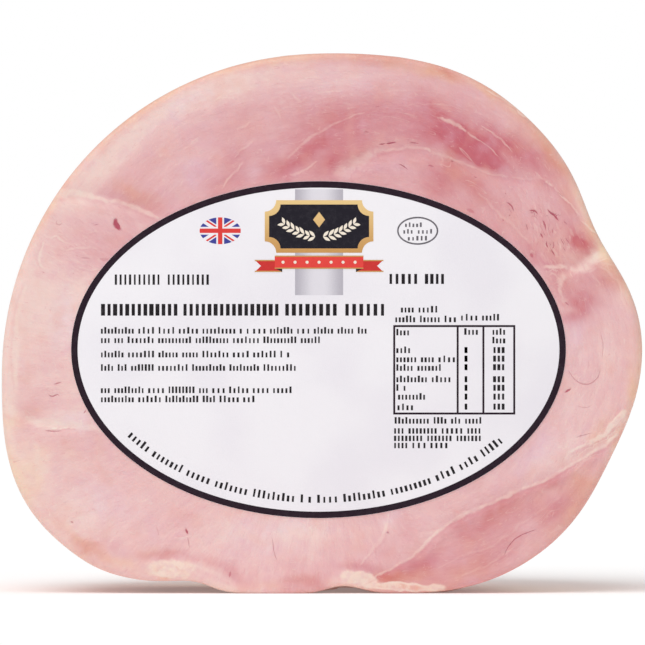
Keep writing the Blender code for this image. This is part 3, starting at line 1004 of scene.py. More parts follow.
def skin_relief(angle, depth):
    """Fine relief of the skin: soft lumps, creases that run round the body and long shallow folds."""
    girth = np.stack([*around(angle.ravel()), depth.ravel()], axis=1)
    lumps = layered_noise(girth, 22.0, SKIN_LUMP_SEED) - 0.5
    folds = 1.0 - np.abs(layered_noise(girth * FOLD_SQUEEZE, 9.0, FOLD_SEED))
    creases = 1.0 - np.abs(layered_noise(girth * CREASE_SQUEEZE, 6.0, CREASE_SEED))
    strength = smooth_step((depth.ravel() - SKIN_RELIEF_START) / SKIN_RELIEF_FADE_IN)
    height = SKIN_LUMP_HEIGHT * lumps - SKIN_FOLD_DEPTH * folds**6 - SKIN_CREASE_DEPTH * creases**8
    return strength * height


def body_points(angle):
    """Rings of the flank and the rounded end."""
    flank = EDGE_RADIUS + (DOME_START - EDGE_RADIUS) * np.arange(1, FLANK_RINGS + 1) / FLANK_RINGS
    turn = np.radians(90.0 * np.arange(1, DOME_RINGS) / DOME_RINGS)
    dome = DOME_START + (BODY_DEPTH - DOME_START) * np.sin(turn) ** (2.0 / DOME_ROUNDNESS)
    depth = np.concatenate([flank, dome])[:, None]
    size = np.concatenate([np.ones(FLANK_RINGS), np.cos(turn) ** (2.0 / DOME_ROUNDNESS)])[:, None]
    lobe_share = 1.0 - LOBE_FADE * smooth_step((depth - DOME_START) / (BODY_DEPTH - DOME_START))
    swelling = SWELL * (1.0 - smooth_step((depth - EDGE_RADIUS) / SWELL_LENGTH))
    radius = outline_radius(angle, lobe_share) - swelling
    radius += sag(angle, depth) - skin_hollow(angle, depth) - skin_groove(angle, depth)
    angles = np.broadcast_to(angle, radius.shape)
    depths = np.broadcast_to(depth, radius.shape)
    radius = radius + skin_relief(angles, depths).reshape(radius.shape)
    across = TIP_SIDE * (1.0 - size) + size * radius * np.cos(np.radians(angle))
    core = CORE_HEIGHT + (TIP_HEIGHT - CORE_HEIGHT) * (1.0 - size)
    up = core + size * radius * np.sin(np.radians(angle))
    points = np.stack([across.ravel(), CUT_PLANE + depths.ravel(), np.maximum(up, 0.0).ravel()], axis=1)
    return points, angles, depths


def ring_faces(rings, spokes, first):
    """Quads between rings of equally many points, numbered from the first."""
    spoke = np.arange(spokes)
    after = (spoke + 1) % spokes
    faces = []
    for ring in range(rings - 1):
        inner = first + ring * spokes
        outer = inner + spokes
        quads = np.stack([inner + spoke, outer + spoke, outer + after, inner + after], axis=1)
        faces.extend(quads.tolist())
    return faces


def halving_faces(fine, coarse, coarse_spokes):
    """Five-sided faces from a ring to one of half as many points."""
    faces = []
    for spoke in range(coarse_spokes):
        after = (spoke + 1) % coarse_spokes
        first, middle, last = fine + 2 * spoke, fine + 2 * spoke + 1, fine + 2 * after
        faces.append([first, coarse + spoke, coarse + after, last, middle])
    return faces


def make_ham():
    """The whole ham as one closed mesh: fine rings on the cut face and its edge, coarser ones on the skin."""
    fine_angle = 360.0 * np.arange(FACE_SPOKES) / FACE_SPOKES
    coarse_angle = 360.0 * np.arange(SKIN_SPOKES) / SKIN_SPOKES
    face, values = ham_face(fine_angle)
    rim_depth = face[-FACE_SPOKES:, 1] - CUT_PLANE
    edge, edge_values = ham_edge(fine_angle, rim_depth)
    body, body_angles, body_depths = body_points(coarse_angle)
    tip = np.array([[TIP_SIDE, CUT_PLANE + BODY_DEPTH, TIP_HEIGHT]])
    points = np.concatenate([face, edge, body, tip])

    body_values = skin_values(body, body_angles, body_depths, values)
    tip_values = skin_values(tip, np.zeros(1), np.full(1, BODY_DEPTH), values)

    body_start = len(face) + len(edge)
    last_ring = body_start + len(body) - SKIN_SPOKES
    faces = [list(range(FACE_SPOKES))]
    faces += ring_faces(FACE_RINGS + 1 + EDGE_RINGS, FACE_SPOKES, 0)
    faces += halving_faces(body_start - FACE_SPOKES, body_start, SKIN_SPOKES)
    faces += ring_faces(FLANK_RINGS + DOME_RINGS - 1, SKIN_SPOKES, body_start)
    for spoke in range(SKIN_SPOKES):
        after = (spoke + 1) % SKIN_SPOKES
        faces.append([last_ring + spoke, len(points) - 1, last_ring + after])

    mesh = bpy.data.meshes.new("ham_half")
    mesh.from_pydata((points * MM).tolist(), [], faces)
    mesh.shade_smooth()
    for name in values:
        attribute = mesh.attributes.new(name, "FLOAT", "POINT")
        parts = [part[name] for part in (values, edge_values, body_values, tip_values)]
        attribute.data.foreach_set("value", np.concatenate(parts).astype(np.float32))
    ham = bpy.data.objects.new("ham_half", mesh)
    bpy.context.scene.collection.objects.link(ham)
    mesh.materials.append(meat_finish())
    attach(ham, "root")
    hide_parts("ham")


def tint(red, green, blue):
    """A colour as read off a screen, 0 to 255, as the shaders take it."""
    channels = []
    for channel in (red, green, blue):
        value = channel / 255.0
        channels.append(value / 12.92 if value <= 0.04045 else ((value + 0.055) / 1.055) ** 2.4)
    return (*channels, 1.0)


# Colours of the meat, from pale to deep pink, and of what is on it
PINKS = (
    (0.00, tint(241, 209, 202)),
    (0.15, tint(237, 196, 193)),
    (0.30, tint(231, 183, 184)),
    (0.48, tint(223, 165, 168)),
    (0.66, tint(216, 149, 154)),
    (0.82, tint(210, 133, 141)),
    (0.93, tint(205, 118, 127)),
    (1.00, tint(200, 104, 116)),
)
ORANGE = tint(231, 165, 145)
PALE_TISSUE = tint(240, 206, 197)
TISSUE_LIGHT = tint(247, 228, 214)
FAT_CREAM = tint(243, 219, 205)
GAP_TINT_AND_SHADE = tint(186, 84, 102)
# Deep pink of fine dark hairs, and of painted shade in creases and beside the pale lines
HAIR_AND_SHADE_PINK = tint(207, 122, 136)
WARM_PINK = tint(231, 172, 160)
COOL_PINK = tint(224, 172, 186)
SKIN_TONES = (
    (0.00, tint(240, 209, 192)),
    (0.25, tint(235, 190, 175)),
    (0.50, tint(227, 167, 153)),
    (0.75, tint(216, 144, 133)),
    (1.00, tint(200, 120, 110)),
)
SKIN_FAT_CREAM = tint(240, 212, 188)
SKIN_FAT_GOLD = tint(232, 190, 154)
SKIN_BROWN = tint(212, 150, 116)
SKIN_CREASE_SHADE = tint(200, 126, 112)
WARM_SHIFT = (1.03, 1.02, 0.74, 1.0)
COOL_SHIFT = (0.96, 1.00, 1.16, 1.0)


class Finish:
    """A material whose nodes are added one after another."""

    def __init__(self, name, roughness, gloss=0.5):
        self.material = bpy.data.materials.new(name)
        self.material.use_nodes = True
        self.tree = self.material.node_tree
        self.shader = self.tree.nodes["Principled BSDF"]
        self.shader.inputs["Roughness"].default_value = roughness
        self.shader.inputs["Specular IOR Level"].default_value = gloss
        self.place = self.add("ShaderNodeTexCoord").outputs["Object"]

    def add(self, kind, **settings):
        node = self.tree.nodes.new(kind)
        for name, value in settings.items():
            setattr(node, name, value)
        return node

    def feed(self, socket, value):
        """Links a socket to another, or gives it a plain value."""
        if isinstance(value, bpy.types.NodeSocket):
            self.tree.links.new(value, socket)
        else:
            socket.default_value = value

    def calculate(self, operation, *values):
        node = self.add("ShaderNodeMath", operation=operation)
        for socket, value in zip(node.inputs, values):
            self.feed(socket, value)
        return node.outputs[0]

    def times(self, first, second):
        return self.calculate("MULTIPLY", first, second)

    def attribute(self, name):
        return self.add("ShaderNodeAttribute", attribute_name=name).outputs["Fac"]

    def axis(self, name):
        """The object's own coordinate along one axis, in metres."""
        node = self.add("ShaderNodeSeparateXYZ")
        self.feed(node.inputs[0], self.place)
        return node.outputs[name]

    def between(self, value, low, high, to_low=0.0, to_high=1.0):
        """A smooth ramp from one value at low to another at high."""
        node = self.add("ShaderNodeMapRange", interpolation_type="SMOOTHSTEP")
        for socket, number in zip(node.inputs, (value, low, high, to_low, to_high)):
            self.feed(socket, number)
        return node.outputs[0]

    def noise(self, size, detail=2.0, roughness=0.5, place=None, distortion=0.0):
        """Noise around 0.5 with blotches of about a size, in millimetres."""
        node = self.add("ShaderNodeTexNoise")
        self.feed(node.inputs["Vector"], place or self.place)
        node.inputs["Scale"].default_value = 1.0 / (size * MM)
        node.inputs["Detail"].default_value = detail
        node.inputs["Roughness"].default_value = roughness
        node.inputs["Distortion"].default_value = distortion
        return node.outputs["Fac"]

    def ramp(self, value, stops):
        node = self.add("ShaderNodeValToRGB")
        while len(node.color_ramp.elements) < len(stops):
            node.color_ramp.elements.new(0.5)
        for element, (position, colour) in zip(node.color_ramp.elements, stops):
            element.position = position
            element.color = colour
        self.feed(node.inputs[0], value)
        return node.outputs[0]

    def mix(self, share, first, second, blend="MIX"):
        """A colour that runs from the first to the second as the share grows."""
        node = self.add("ShaderNodeMix", data_type="RGBA", blend_type=blend)
        self.feed(node.inputs["Factor"], share)
        self.feed(node.inputs[6], first)
        self.feed(node.inputs[7], second)
        return node.outputs[2]

    def blend(self, share, first, second):
        """A value that runs from the first to the second as the share grows."""
        node = self.add("ShaderNodeMix", data_type="FLOAT")
        self.feed(node.inputs["Factor"], share)
        self.feed(node.inputs[2], first)
        self.feed(node.inputs[3], second)
        return node.outputs[0]

    def sum(self, base, *terms):
        """A value plus noises around 0.5, each given with how far it swings."""
        for swing, noise in terms:
            swung = self.calculate("MULTIPLY_ADD", noise, 2.0 * swing, -swing)
            base = self.calculate("ADD", base, swung)
        return base

    def colour(self, value):
        self.feed(self.shader.inputs["Base Color"], value)

    def relief(self, height, depth):
        """Fine relief: a height from 0 to 1 raises the surface by up to a depth in millimetres."""
        node = self.add("ShaderNodeBump")
        node.inputs["Distance"].default_value = depth * MM
        self.feed(node.inputs["Height"], height)
        self.feed(self.shader.inputs["Normal"], node.outputs["Normal"])


def fibre_noise(finish, along, across, detail=2.0, distortion=0.0, roughness=0.5):
    """Noise that follows the rim of the cut, with blotches of one size along it and another across it."""
    place = finish.add("ShaderNodeCombineXYZ")
    for socket, name, size in zip(place.inputs, ("turn_side", "turn_up", "rim"), (along, along, across)):
        finish.feed(socket, finish.times(finish.attribute(name), MM / size))
    return finish.noise(1.0, detail, roughness, place.outputs[0], distortion)


def grain_noise(finish, round_sizes, cross_sizes, detail, distortion):
    """Fibre noise that follows the rim, or runs in from it where the fibres lie crossways."""
    round_noise = fibre_noise(finish, *round_sizes, detail, distortion)
    cross_noise = fibre_noise(finish, *cross_sizes, detail, distortion)
    return finish.blend(finish.attribute("crossways"), round_noise, cross_noise)


def line_mask(finish, name, wobble, soft):
    """Where a drawn line shows, from its offset and strength at each point."""
    offset = finish.calculate("ABSOLUTE", finish.attribute(name + "_offset"))
    shown = finish.between(finish.sum(offset, wobble), 1.0 - soft, 1.0 + soft, 1.0, 0.0)
    return finish.times(shown, finish.attribute(name + "_strength"))


def thin_films(finish, noise, width):
    """Thin wavy lines where a noise crosses its middle."""
    away = finish.calculate("ABSOLUTE", finish.calculate("SUBTRACT", noise, 0.5))
    return finish.between(away, 0.0, width, 1.0, 0.0)


def skin_layer(finish, grain):
    """The skin behind the cut: a thin film over long fibres, with soft fat, browned places, and wrinkles and
    grooves darkened with painted shade.
    """
    mottle = finish.noise(5.0, 3.0, 0.55)
    clouds = finish.noise(18.0)
    long_fibres = fibre_noise(finish, 2.4, 26.0, 3.0, 0.5, 0.55)
    long_fibres = finish.blend(finish.attribute("lengthways"), 0.5, long_fibres)
    streaks = finish.noise(9.0, 3.0, 0.6, None, 1.2)
    tone_swings = ((0.20, clouds), (0.16, long_fibres), (0.18, streaks), (0.06, grain))
    skin = finish.ramp(finish.sum(finish.attribute("redness"), *tone_swings), SKIN_TONES)

    browned = finish.sum(finish.attribute("warmth"), (0.5, clouds), (0.25, mottle), (0.12, long_fibres))
    skin = finish.mix(finish.between(browned, 0.3, 1.2, 0.0, 0.6), skin, SKIN_BROWN)

    fat_edge = finish.sum(finish.attribute("fat_reach"), (0.35, clouds), (0.2, mottle), (0.06, long_fibres))
    fat = finish.between(fat_edge, 0.55, 1.2, 0.8, 0.0)
    gold = finish.between(finish.sum(mottle, (0.15, long_fibres)), 0.4, 0.75, 0.0, 0.6)
    skin = finish.mix(fat, skin, finish.mix(gold, SKIN_FAT_CREAM, SKIN_FAT_GOLD))

    films = thin_films(finish, finish.noise(17.0, 2.0, 0.5, None, 0.9), 0.012)
    films = finish.times(films, finish.between(mottle, 0.45, 0.62))
    skin = finish.mix(finish.times(films, 0.35), skin, SKIN_FAT_CREAM)
    # Wrinkles, sunk in the relief and darkened a little with painted shade
    wrinkles = thin_films(finish, fibre_noise(finish, 70.0, 13.0, 0.0, 0.2), 0.03)
    wrinkles = finish.times(wrinkles, finish.between(clouds, 0.46, 0.62))
    wrinkles = finish.times(wrinkles, finish.attribute("lengthways"))
    skin = finish.mix(finish.times(wrinkles, 0.15), skin, SKIN_CREASE_SHADE)
    # Grooves of the skin darkened by their depth: painted shade
    seam = finish.between(finish.sum(finish.attribute("seam"), (0.15, mottle)), 0.35, 1.1, 0.0, 0.4)
    skin = finish.mix(seam, skin, SKIN_CREASE_SHADE)

    height = finish.sum(mottle, (0.45, long_fibres), (0.12, grain))
    height = finish.calculate("MULTIPLY_ADD", wrinkles, -0.7, height)
    height = finish.calculate("MULTIPLY_ADD", fat, 0.6, height)
    return skin, height, mottle


def meat_finish():
    """Cooked ham: pink muscle with fibres, pale tissue, fat and small gaps, and peach skin behind the cut."""
    finish = Finish("cooked_meat", 0.42, 0.4)
    clouds = finish.noise(16.0, 1.0)
    mottle = finish.noise(2.2, 2.0, 0.55)
    grain = finish.noise(0.6, 1.0)
    blotches = grain_noise(finish, (11.0, 4.0), (4.5, 9.0), 2.0, 0.5)
    fibres = grain_noise(finish, (7.0, 1.4), (1.7, 5.0), 2.0, 0.8)
    redness_swings = ((0.05, clouds), (0.12, blotches), (0.06, mottle), (0.025, grain), (0.09, fibres))
    redness = finish.sum(finish.attribute("redness"), *redness_swings)
    meat = finish.ramp(redness, PINKS)
    tissue = finish.mix(finish.between(redness, 0.42, 0.12), PALE_TISSUE, TISSUE_LIGHT)

    # Warmer and cooler pinks
    warm_noise = finish.noise(5.0, 3.0, 0.6)
    hue_noise = finish.noise(8.0)
    meat = finish.mix(finish.between(hue_noise, 0.5, 0.75, 0.0, 0.3), meat, WARM_PINK)
    meat = finish.mix(finish.between(hue_noise, 0.5, 0.25, 0.0, 0.3), meat, COOL_PINK)
    warmth = finish.sum(finish.attribute("warmth"), (0.22, warm_noise))
    meat = finish.mix(finish.between(warmth, 0.0, 1.0), meat, WARM_SHIFT, "MULTIPLY")
    meat = finish.mix(finish.between(warmth, 0.0, -0.8), meat, COOL_SHIFT, "MULTIPLY")

    # Thin films and hairs of tissue along the fibres
    films = thin_films(finish, fibre_noise(finish, 22.0, 5.0, 1.0, 0.8), 0.008)
    films = finish.times(films, finish.between(blotches, 0.5, 0.66, 0.0, 0.4))
    meat = finish.mix(films, meat, tissue)
    hairs = grain_noise(finish, (10.0, 2.2), (2.2, 10.0), 2.0, 0.8)
    light_hairs = finish.times(thin_films(finish, hairs, 0.02), finish.between(mottle, 0.48, 0.6, 0.0, 0.3))
    meat = finish.mix(light_hairs, meat, tissue)
    dark_hairs = thin_films(finish, finish.calculate("SUBTRACT", hairs, 0.09), 0.015)
    dark_hairs = finish.times(dark_hairs, finish.between(mottle, 0.52, 0.4, 0.0, 0.25))
    meat = finish.mix(dark_hairs, meat, HAIR_AND_SHADE_PINK)

    # Short creases where the muscle has parted, darkened with painted shade, and painted highlights on the
    # raised meat between them
    creased = finish.attribute("creased")
    crease_noise = grain_noise(finish, (4.0, 1.0), (1.0, 4.0), 1.0, 0.6)
    creases = finish.times(thin_films(finish, crease_noise, 0.035), finish.between(mottle, 0.48, 0.62))
    creases = finish.times(creases, creased)
    meat = finish.mix(finish.times(creases, 0.5), meat, HAIR_AND_SHADE_PINK)
    lights = finish.times(finish.between(crease_noise, 0.56, 0.66), creased)
    meat = finish.mix(finish.times(lights, 0.4), meat, tissue)

    # Fat that the cut crosses, orange in its middle
    fat_edge = finish.sum(finish.attribute("fat_reach"), (0.15, mottle))
    fat = finish.between(fat_edge, 0.78, 1.12, 0.95, 0.0)
    orange = finish.times(
        finish.between(warm_noise, 0.42, 0.62), finish.between(fat_edge, 0.7, 0.3, 0.1, 0.7)
    )
    fat_colour = finish.mix(orange, FAT_CREAM, ORANGE)
    fat_colour = finish.mix(finish.between(mottle, 0.45, 0.7, 0.0, 0.25), fat_colour, COOL_PINK)
    meat = finish.mix(fat, meat, fat_colour)

    # The pale lines with painted shade along one side, as a step beside them would cast, and the dark marks
    shaded_side = finish.calculate("ABSOLUTE", finish.calculate("ADD", finish.attribute("pale_offset"), 2.2))
    shaded_side = finish.between(shaded_side, 0.2, 1.4, 0.45, 0.0)
    shaded_side = finish.times(shaded_side, finish.attribute("pale_strength"))
    meat = finish.mix(finish.times(shaded_side, mottle), meat, HAIR_AND_SHADE_PINK)
    pale_break = finish.between(finish.noise(3.5, 3.0, 0.55), 0.35, 0.6, 0.5, 1.0)
    pale = finish.times(line_mask(finish, "pale", (0.7, mottle), 0.7), pale_break)
    meat = finish.mix(pale, meat, tissue)
    # The dark marks, darkened partly in their own tint and partly with painted shade in the gaps
    dark = line_mask(finish, "dark", (0.4, grain), 0.45)
    meat = finish.mix(dark, meat, GAP_TINT_AND_SHADE)

    skin, skin_height, skin_mottle = skin_layer(finish, grain)
    behind = finish.between(finish.sum(finish.attribute("rim"), (0.8, skin_mottle)), 1.2, -1.2)
    finish.colour(finish.mix(behind, meat, skin))

    height = finish.sum(blotches, (0.35, mottle), (0.15, grain), (0.2, fibres))
    height = finish.calculate("ADD", height, finish.times(films, 0.3))
    raised = finish.times(finish.times(creased, crease_noise), 0.5)
    height = finish.calculate("ADD", height, raised)
    height = finish.calculate("SUBTRACT", height, finish.times(dark, 0.5))
    finish.relief(finish.blend(behind, height, skin_height), 0.28)
    finish.feed(finish.shader.inputs["Roughness"], finish.between(mottle, 0.3, 0.7, 0.34, 0.5))
    finish.shader.inputs["Subsurface Weight"].default_value = 0.15
    finish.shader.inputs["Subsurface Scale"].default_value = 0.9 * MM
    finish.shader.inputs["Subsurface Radius"].default_value = (1.0, 0.45, 0.35)
    return finish.material


# Colours of the paper and its print
PAPER_WHITE = tint(244, 241, 245)
PAPER_DAMP = tint(238, 234, 240)
BORDER_INK = tint(34, 14, 30)
TEXT_INK = tint(22, 16, 21)
GREY_INK = tint(98, 94, 100)
BAND_GREY = tint(184, 179, 189)
BAND_LIGHT = tint(227, 223, 230)
PLAQUE_INK = tint(26, 22, 34)
GOLD_DARK = tint(203, 150, 82)
GOLD_LIGHT = tint(238, 204, 140)
RED_INK = tint(232, 72, 66)
RED_DEEP = tint(205, 52, 50)
CREAM_INK = tint(244, 232, 214)
FLAG_BLUE = tint(52, 56, 150)
FLAG_RED = tint(224, 50, 44)


PAPER_RELIEF = 0.25
FLAG_SOFTNESS = 0.08
WHITE_DIAGONAL = 1.25
RED_DIAGONAL = 0.38
RED_DIAGONAL_SHIFT = 0.42
WHITE_CROSS = 1.35
RED_CROSS = 0.78


def paper_relief(finish):
    """The paper's fibres and the faint waves that damp leaves, which the print on it shares."""
    fibres = finish.noise(0.5, 3.0, 0.6)
    waves = finish.noise(26.0, 1.0, 0.4)
    finish.relief(finish.sum(waves, (0.12, fibres)), PAPER_RELIEF)
    return waves, fibres


def paper_finish():
    """Smooth white paper, a little damp in places."""
    finish = Finish("label_paper", 0.5, 0.3)
    waves, fibres = paper_relief(finish)
    damp = finish.sum(waves, (0.2, finish.noise(30.0)), (0.1, fibres))
    finish.colour(finish.mix(finish.between(damp, 0.35, 0.75), PAPER_WHITE, PAPER_DAMP))
    return finish.material


def ink_finish(name, colour, lighter, spread=0.35):
    """Printed ink: one colour, a little thinner here and there."""
    finish = Finish(name, 0.5, 0.2)
    fibres = paper_relief(finish)[1]
    patchy = finish.sum(finish.noise(2.0), (0.3, fibres))
    finish.colour(finish.mix(finish.between(patchy, 0.4, 0.95, 0.0, spread), colour, lighter))
    return finish.material


def gold_finish():
    """Gold ink that lightens towards the top."""
    finish = Finish("gold_ink", 0.4)
    fibres = paper_relief(finish)[1]
    low, high = (height * MM for height in GOLD_SHADE_HEIGHTS)
    shade = finish.between(finish.axis("Z"), low, high)
    finish.colour(finish.mix(finish.sum(shade, (0.15, fibres)), GOLD_DARK, GOLD_LIGHT))
    return finish.material


def band_finish(middle, half_width):
    """Silver-grey printed band, lighter down its middle."""
    finish = Finish("grey_band", 0.45)
    fibres = paper_relief(finish)[1]
    aside = finish.calculate("SUBTRACT", finish.axis("X"), middle * MM)
    aside = finish.calculate("ABSOLUTE", finish.times(aside, 1.0 / (half_width * MM)))
    shade = finish.sum(aside, (0.12, fibres))
    finish.colour(finish.mix(finish.between(shade, 0.15, 1.05), BAND_LIGHT, BAND_GREY))
    return finish.material


def flag_finish(middle, half_width, half_height):
    """The crosses of the Union flag on a blue ground."""
    finish = Finish("flag_print", 0.45)
    paper_relief(finish)
    side = finish.times(finish.calculate("SUBTRACT", finish.axis("X"), middle[0] * MM), 1.0 / MM)
    rise = finish.times(finish.calculate("SUBTRACT", finish.axis("Z"), middle[1] * MM), 1.0 / MM)

    def stripe(distance, half):
        away = finish.calculate("ABSOLUTE", distance)
        return finish.between(away, half - FLAG_SOFTNESS, half + FLAG_SOFTNESS, 1.0, 0.0)

    def cross(first, second, half):
        return finish.calculate("MAXIMUM", stripe(first, half), stripe(second, half))

    slope = half_height / half_width
    falling = finish.calculate("MULTIPLY_ADD", side, slope, rise)
    rising = finish.calculate("MULTIPLY_ADD", side, -slope, rise)
    shift = finish.times(finish.calculate("SIGN", side), RED_DIAGONAL_SHIFT)
    falling_red = finish.calculate("ADD", falling, shift)
    rising_red = finish.calculate("SUBTRACT", rising, shift)
    colour = finish.mix(cross(falling, rising, WHITE_DIAGONAL), FLAG_BLUE, PAPER_WHITE)
    colour = finish.mix(cross(falling_red, rising_red, RED_DIAGONAL), colour, FLAG_RED)
    colour = finish.mix(cross(side, rise, WHITE_CROSS), colour, PAPER_WHITE)
    finish.colour(finish.mix(cross(side, rise, RED_CROSS), colour, FLAG_RED))
    return finish.material


def oval(middle, half_width, half_height, sides=OVAL_SIDES):
    """Points of an oval, anticlockwise."""
    turns = 2.0 * np.pi * np.arange(sides) / sides
    return [(middle[0] + half_width * math.cos(t), middle[1] + half_height * math.sin(t)) for t in turns]


def place_piece(name, mesh, material):
    """Puts a finished mesh in the scene as a piece of the ham."""
    mesh.materials.clear()
    mesh.materials.append(material)
    piece = bpy.data.objects.new(name, mesh)
    bpy.context.scene.collection.objects.link(piece)
    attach(piece, "root")
    return piece


def add_slab(form, outline, layer, hole=None):
    """Adds a thin closed slab of ink with an outline, or with a hole of as many points, to a form."""
    front = PAPER_FRONT - layer * PRINT_STEP
    back = PAPER_FRONT + PRINT_STEP

    def loop(points, depth):
        return [form.verts.new(Vector((across, depth, up)) * MM) for across, up in points]

    outer_front, outer_back = loop(outline, front), loop(outline, back)
    count = len(outline)
    if hole is None:
        form.faces.new(outer_front)
        form.faces.new(outer_back[::-1])
    else:
        inner_front, inner_back = loop(hole, front), loop(hole, back)
    for spoke in range(count):
        after = (spoke + 1) % count
        form.faces.new((outer_front[after], outer_front[spoke], outer_back[spoke], outer_back[after]))
        if hole is not None:
            form.faces.new((outer_front[spoke], outer_front[after], inner_front[after], inner_front[spoke]))
            form.faces.new((outer_back[after], outer_back[spoke], inner_back[spoke], inner_back[after]))
            form.faces.new((inner_front[spoke], inner_front[after], inner_back[after], inner_back[spoke]))


def print_piece(name, slabs, material):
    """One piece of print made of slabs, each an outline, a layer and perhaps a hole."""
    form = bmesh.new()
    for slab in slabs:
        add_slab(form, *slab)
    mesh = bpy.data.meshes.new(name)
    form.to_mesh(mesh)
    form.free()
    place_piece(name, mesh, material)


def make_paper():
    """The oval paper with a rounded edge, its back against the meat."""
    form = bmesh.new()
    middle = (LABEL_SIDE, LABEL_HEIGHT)
    round_over = PAPER_THICKNESS / 2
    rings = []
    for turn in np.radians(np.linspace(0.0, 180.0, 7)):
        inset = round_over * (1.0 - math.sin(turn))
        depth = PAPER_FRONT + round_over * (1.0 - math.cos(turn))
        points = oval(middle, LABEL_HALF_WIDTH - inset, LABEL_HALF_HEIGHT - inset)
        rings.append([form.verts.new(Vector((across, depth, up)) * MM) for across, up in points])
    form.faces.new(rings[0])
    form.faces.new(rings[-1][::-1])
    for inner, outer in zip(rings, rings[1:]):
        for spoke in range(OVAL_SIDES):
            after = (spoke + 1) % OVAL_SIDES
            form.faces.new((inner[spoke], outer[spoke], outer[after], inner[after]))
    mesh = bpy.data.meshes.new("label_paper")
    form.to_mesh(mesh)
    form.free()
    mesh.shade_smooth()
    mesh.set_sharp_from_angle(angle=math.radians(40.0))
    paper = place_piece("label_paper", mesh, paper_finish())
    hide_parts("label")


def rectangle(left, right, low, high):
    """Corners of a rectangle, anticlockwise."""
    return [(left, low), (right, low), (right, high), (left, high)]


def bar(start, end, up, half, side):
    """A thin flat bar from one place to another, anticlockwise whichever way it runs."""
    return [(start, up - half), (end, up - half), (end, up + half), (start, up + half)][::side]


def ticket(middle, half_width, half_height, notch, steps=8):
    """A rectangle whose corners are scooped out, anticlockwise."""
    points = []
    for corner, (across, up) in enumerate(((1, 1), (-1, 1), (-1, -1), (1, -1))):
        for turn in np.radians(np.linspace(270.0, 180.0, steps) + 90.0 * corner):
            side = middle[0] + across * half_width + notch * math.cos(turn)
            rise = middle[1] + up * half_height + notch * math.sin(turn)
            points.append((side, rise))
    return points


# Print on the label: places in millimetres across and up
FLAG_MIDDLE = (-35.6, 127.0)
FLAG_HALF = (7.2, 4.7)
MARK_MIDDLE = (33.5, 127.0)
MARK_HALF = (7.2, 4.9)
MARK_LINE = 0.55
SMALL_OVAL_SIDES = 96
BAND_MIDDLE = -1.0
BAND_HALF_WIDTH = 8.4
BAND_FOOT = 104.5
PLAQUE_MIDDLE = (-1.0, 128.5)
PLAQUE_HALF = (19.0, 9.2)
PLAQUE_NOTCH = 4.0
PLAQUE_RIM = 1.5
GOLD_SHADE_HEIGHTS = (118.0, 139.0)
RIBBON_HEIGHT = 116.0
RIBBON_HALF = (15.5, 2.1)
TAIL_DROP = 1.3
TAIL_LENGTH = 7.0
TAIL_NOTCH = 2.2
DOT_RADIUS = 0.55
DOT_SPACING = 4.2
DOT_SIDES = 12
DOTS_EACH_SIDE = 3
TAIL_HIDDEN = 2.6  # how far a tail starts inside the end of the red band
GOLD_EDGE = 0.2  # half width of the gold lines
TOP_GAP = 0.6
BORDER_GAP = 0.05
TABLE_LEFT, TABLE_RIGHT = 25.3, 67.3
TABLE_LOW, TABLE_HIGH = 62.7, 94.0
TABLE_DIVIDERS = (47.5, 56.5)
TABLE_LINE = 0.7


def make_border_and_marks():
    """The black border of the label, the grey oval mark and the frame of the table."""
    middle = (LABEL_SIDE, LABEL_HEIGHT)
    outer = oval(middle, LABEL_HALF_WIDTH - BORDER_GAP, LABEL_HALF_HEIGHT - BORDER_GAP)
    inner = oval(middle, LABEL_HALF_WIDTH - BORDER_WIDTH, LABEL_HALF_HEIGHT - BORDER_WIDTH)
    border_ink = ink_finish("border_ink", BORDER_INK, GREY_INK, 0.12)
    print_piece("label_border", [(outer, 1, inner)], border_ink)

    mark = oval(MARK_MIDDLE, *MARK_HALF, SMALL_OVAL_SIDES)
    mark_hole = oval(MARK_MIDDLE, MARK_HALF[0] - MARK_LINE, MARK_HALF[1] - MARK_LINE, SMALL_OVAL_SIDES)
    grey_ink = ink_finish("grey_ink", GREY_INK, BAND_GREY)
    print_piece("label_oval_mark", [(mark, 1, mark_hole)], grey_ink)

    half = TABLE_LINE / 2
    posts = (TABLE_LEFT, *TABLE_DIVIDERS, TABLE_RIGHT)
    rules = [rectangle(post - half, post + half, TABLE_LOW, TABLE_HIGH) for post in posts]
    for left, right in zip(posts, posts[1:]):
        for up in (TABLE_LOW + half, TABLE_HIGH - half):
            rules.append(rectangle(left + half, right - half, up - half, up + half))
    print_piece("label_table_rules", [(rule, 1) for rule in rules], border_ink)


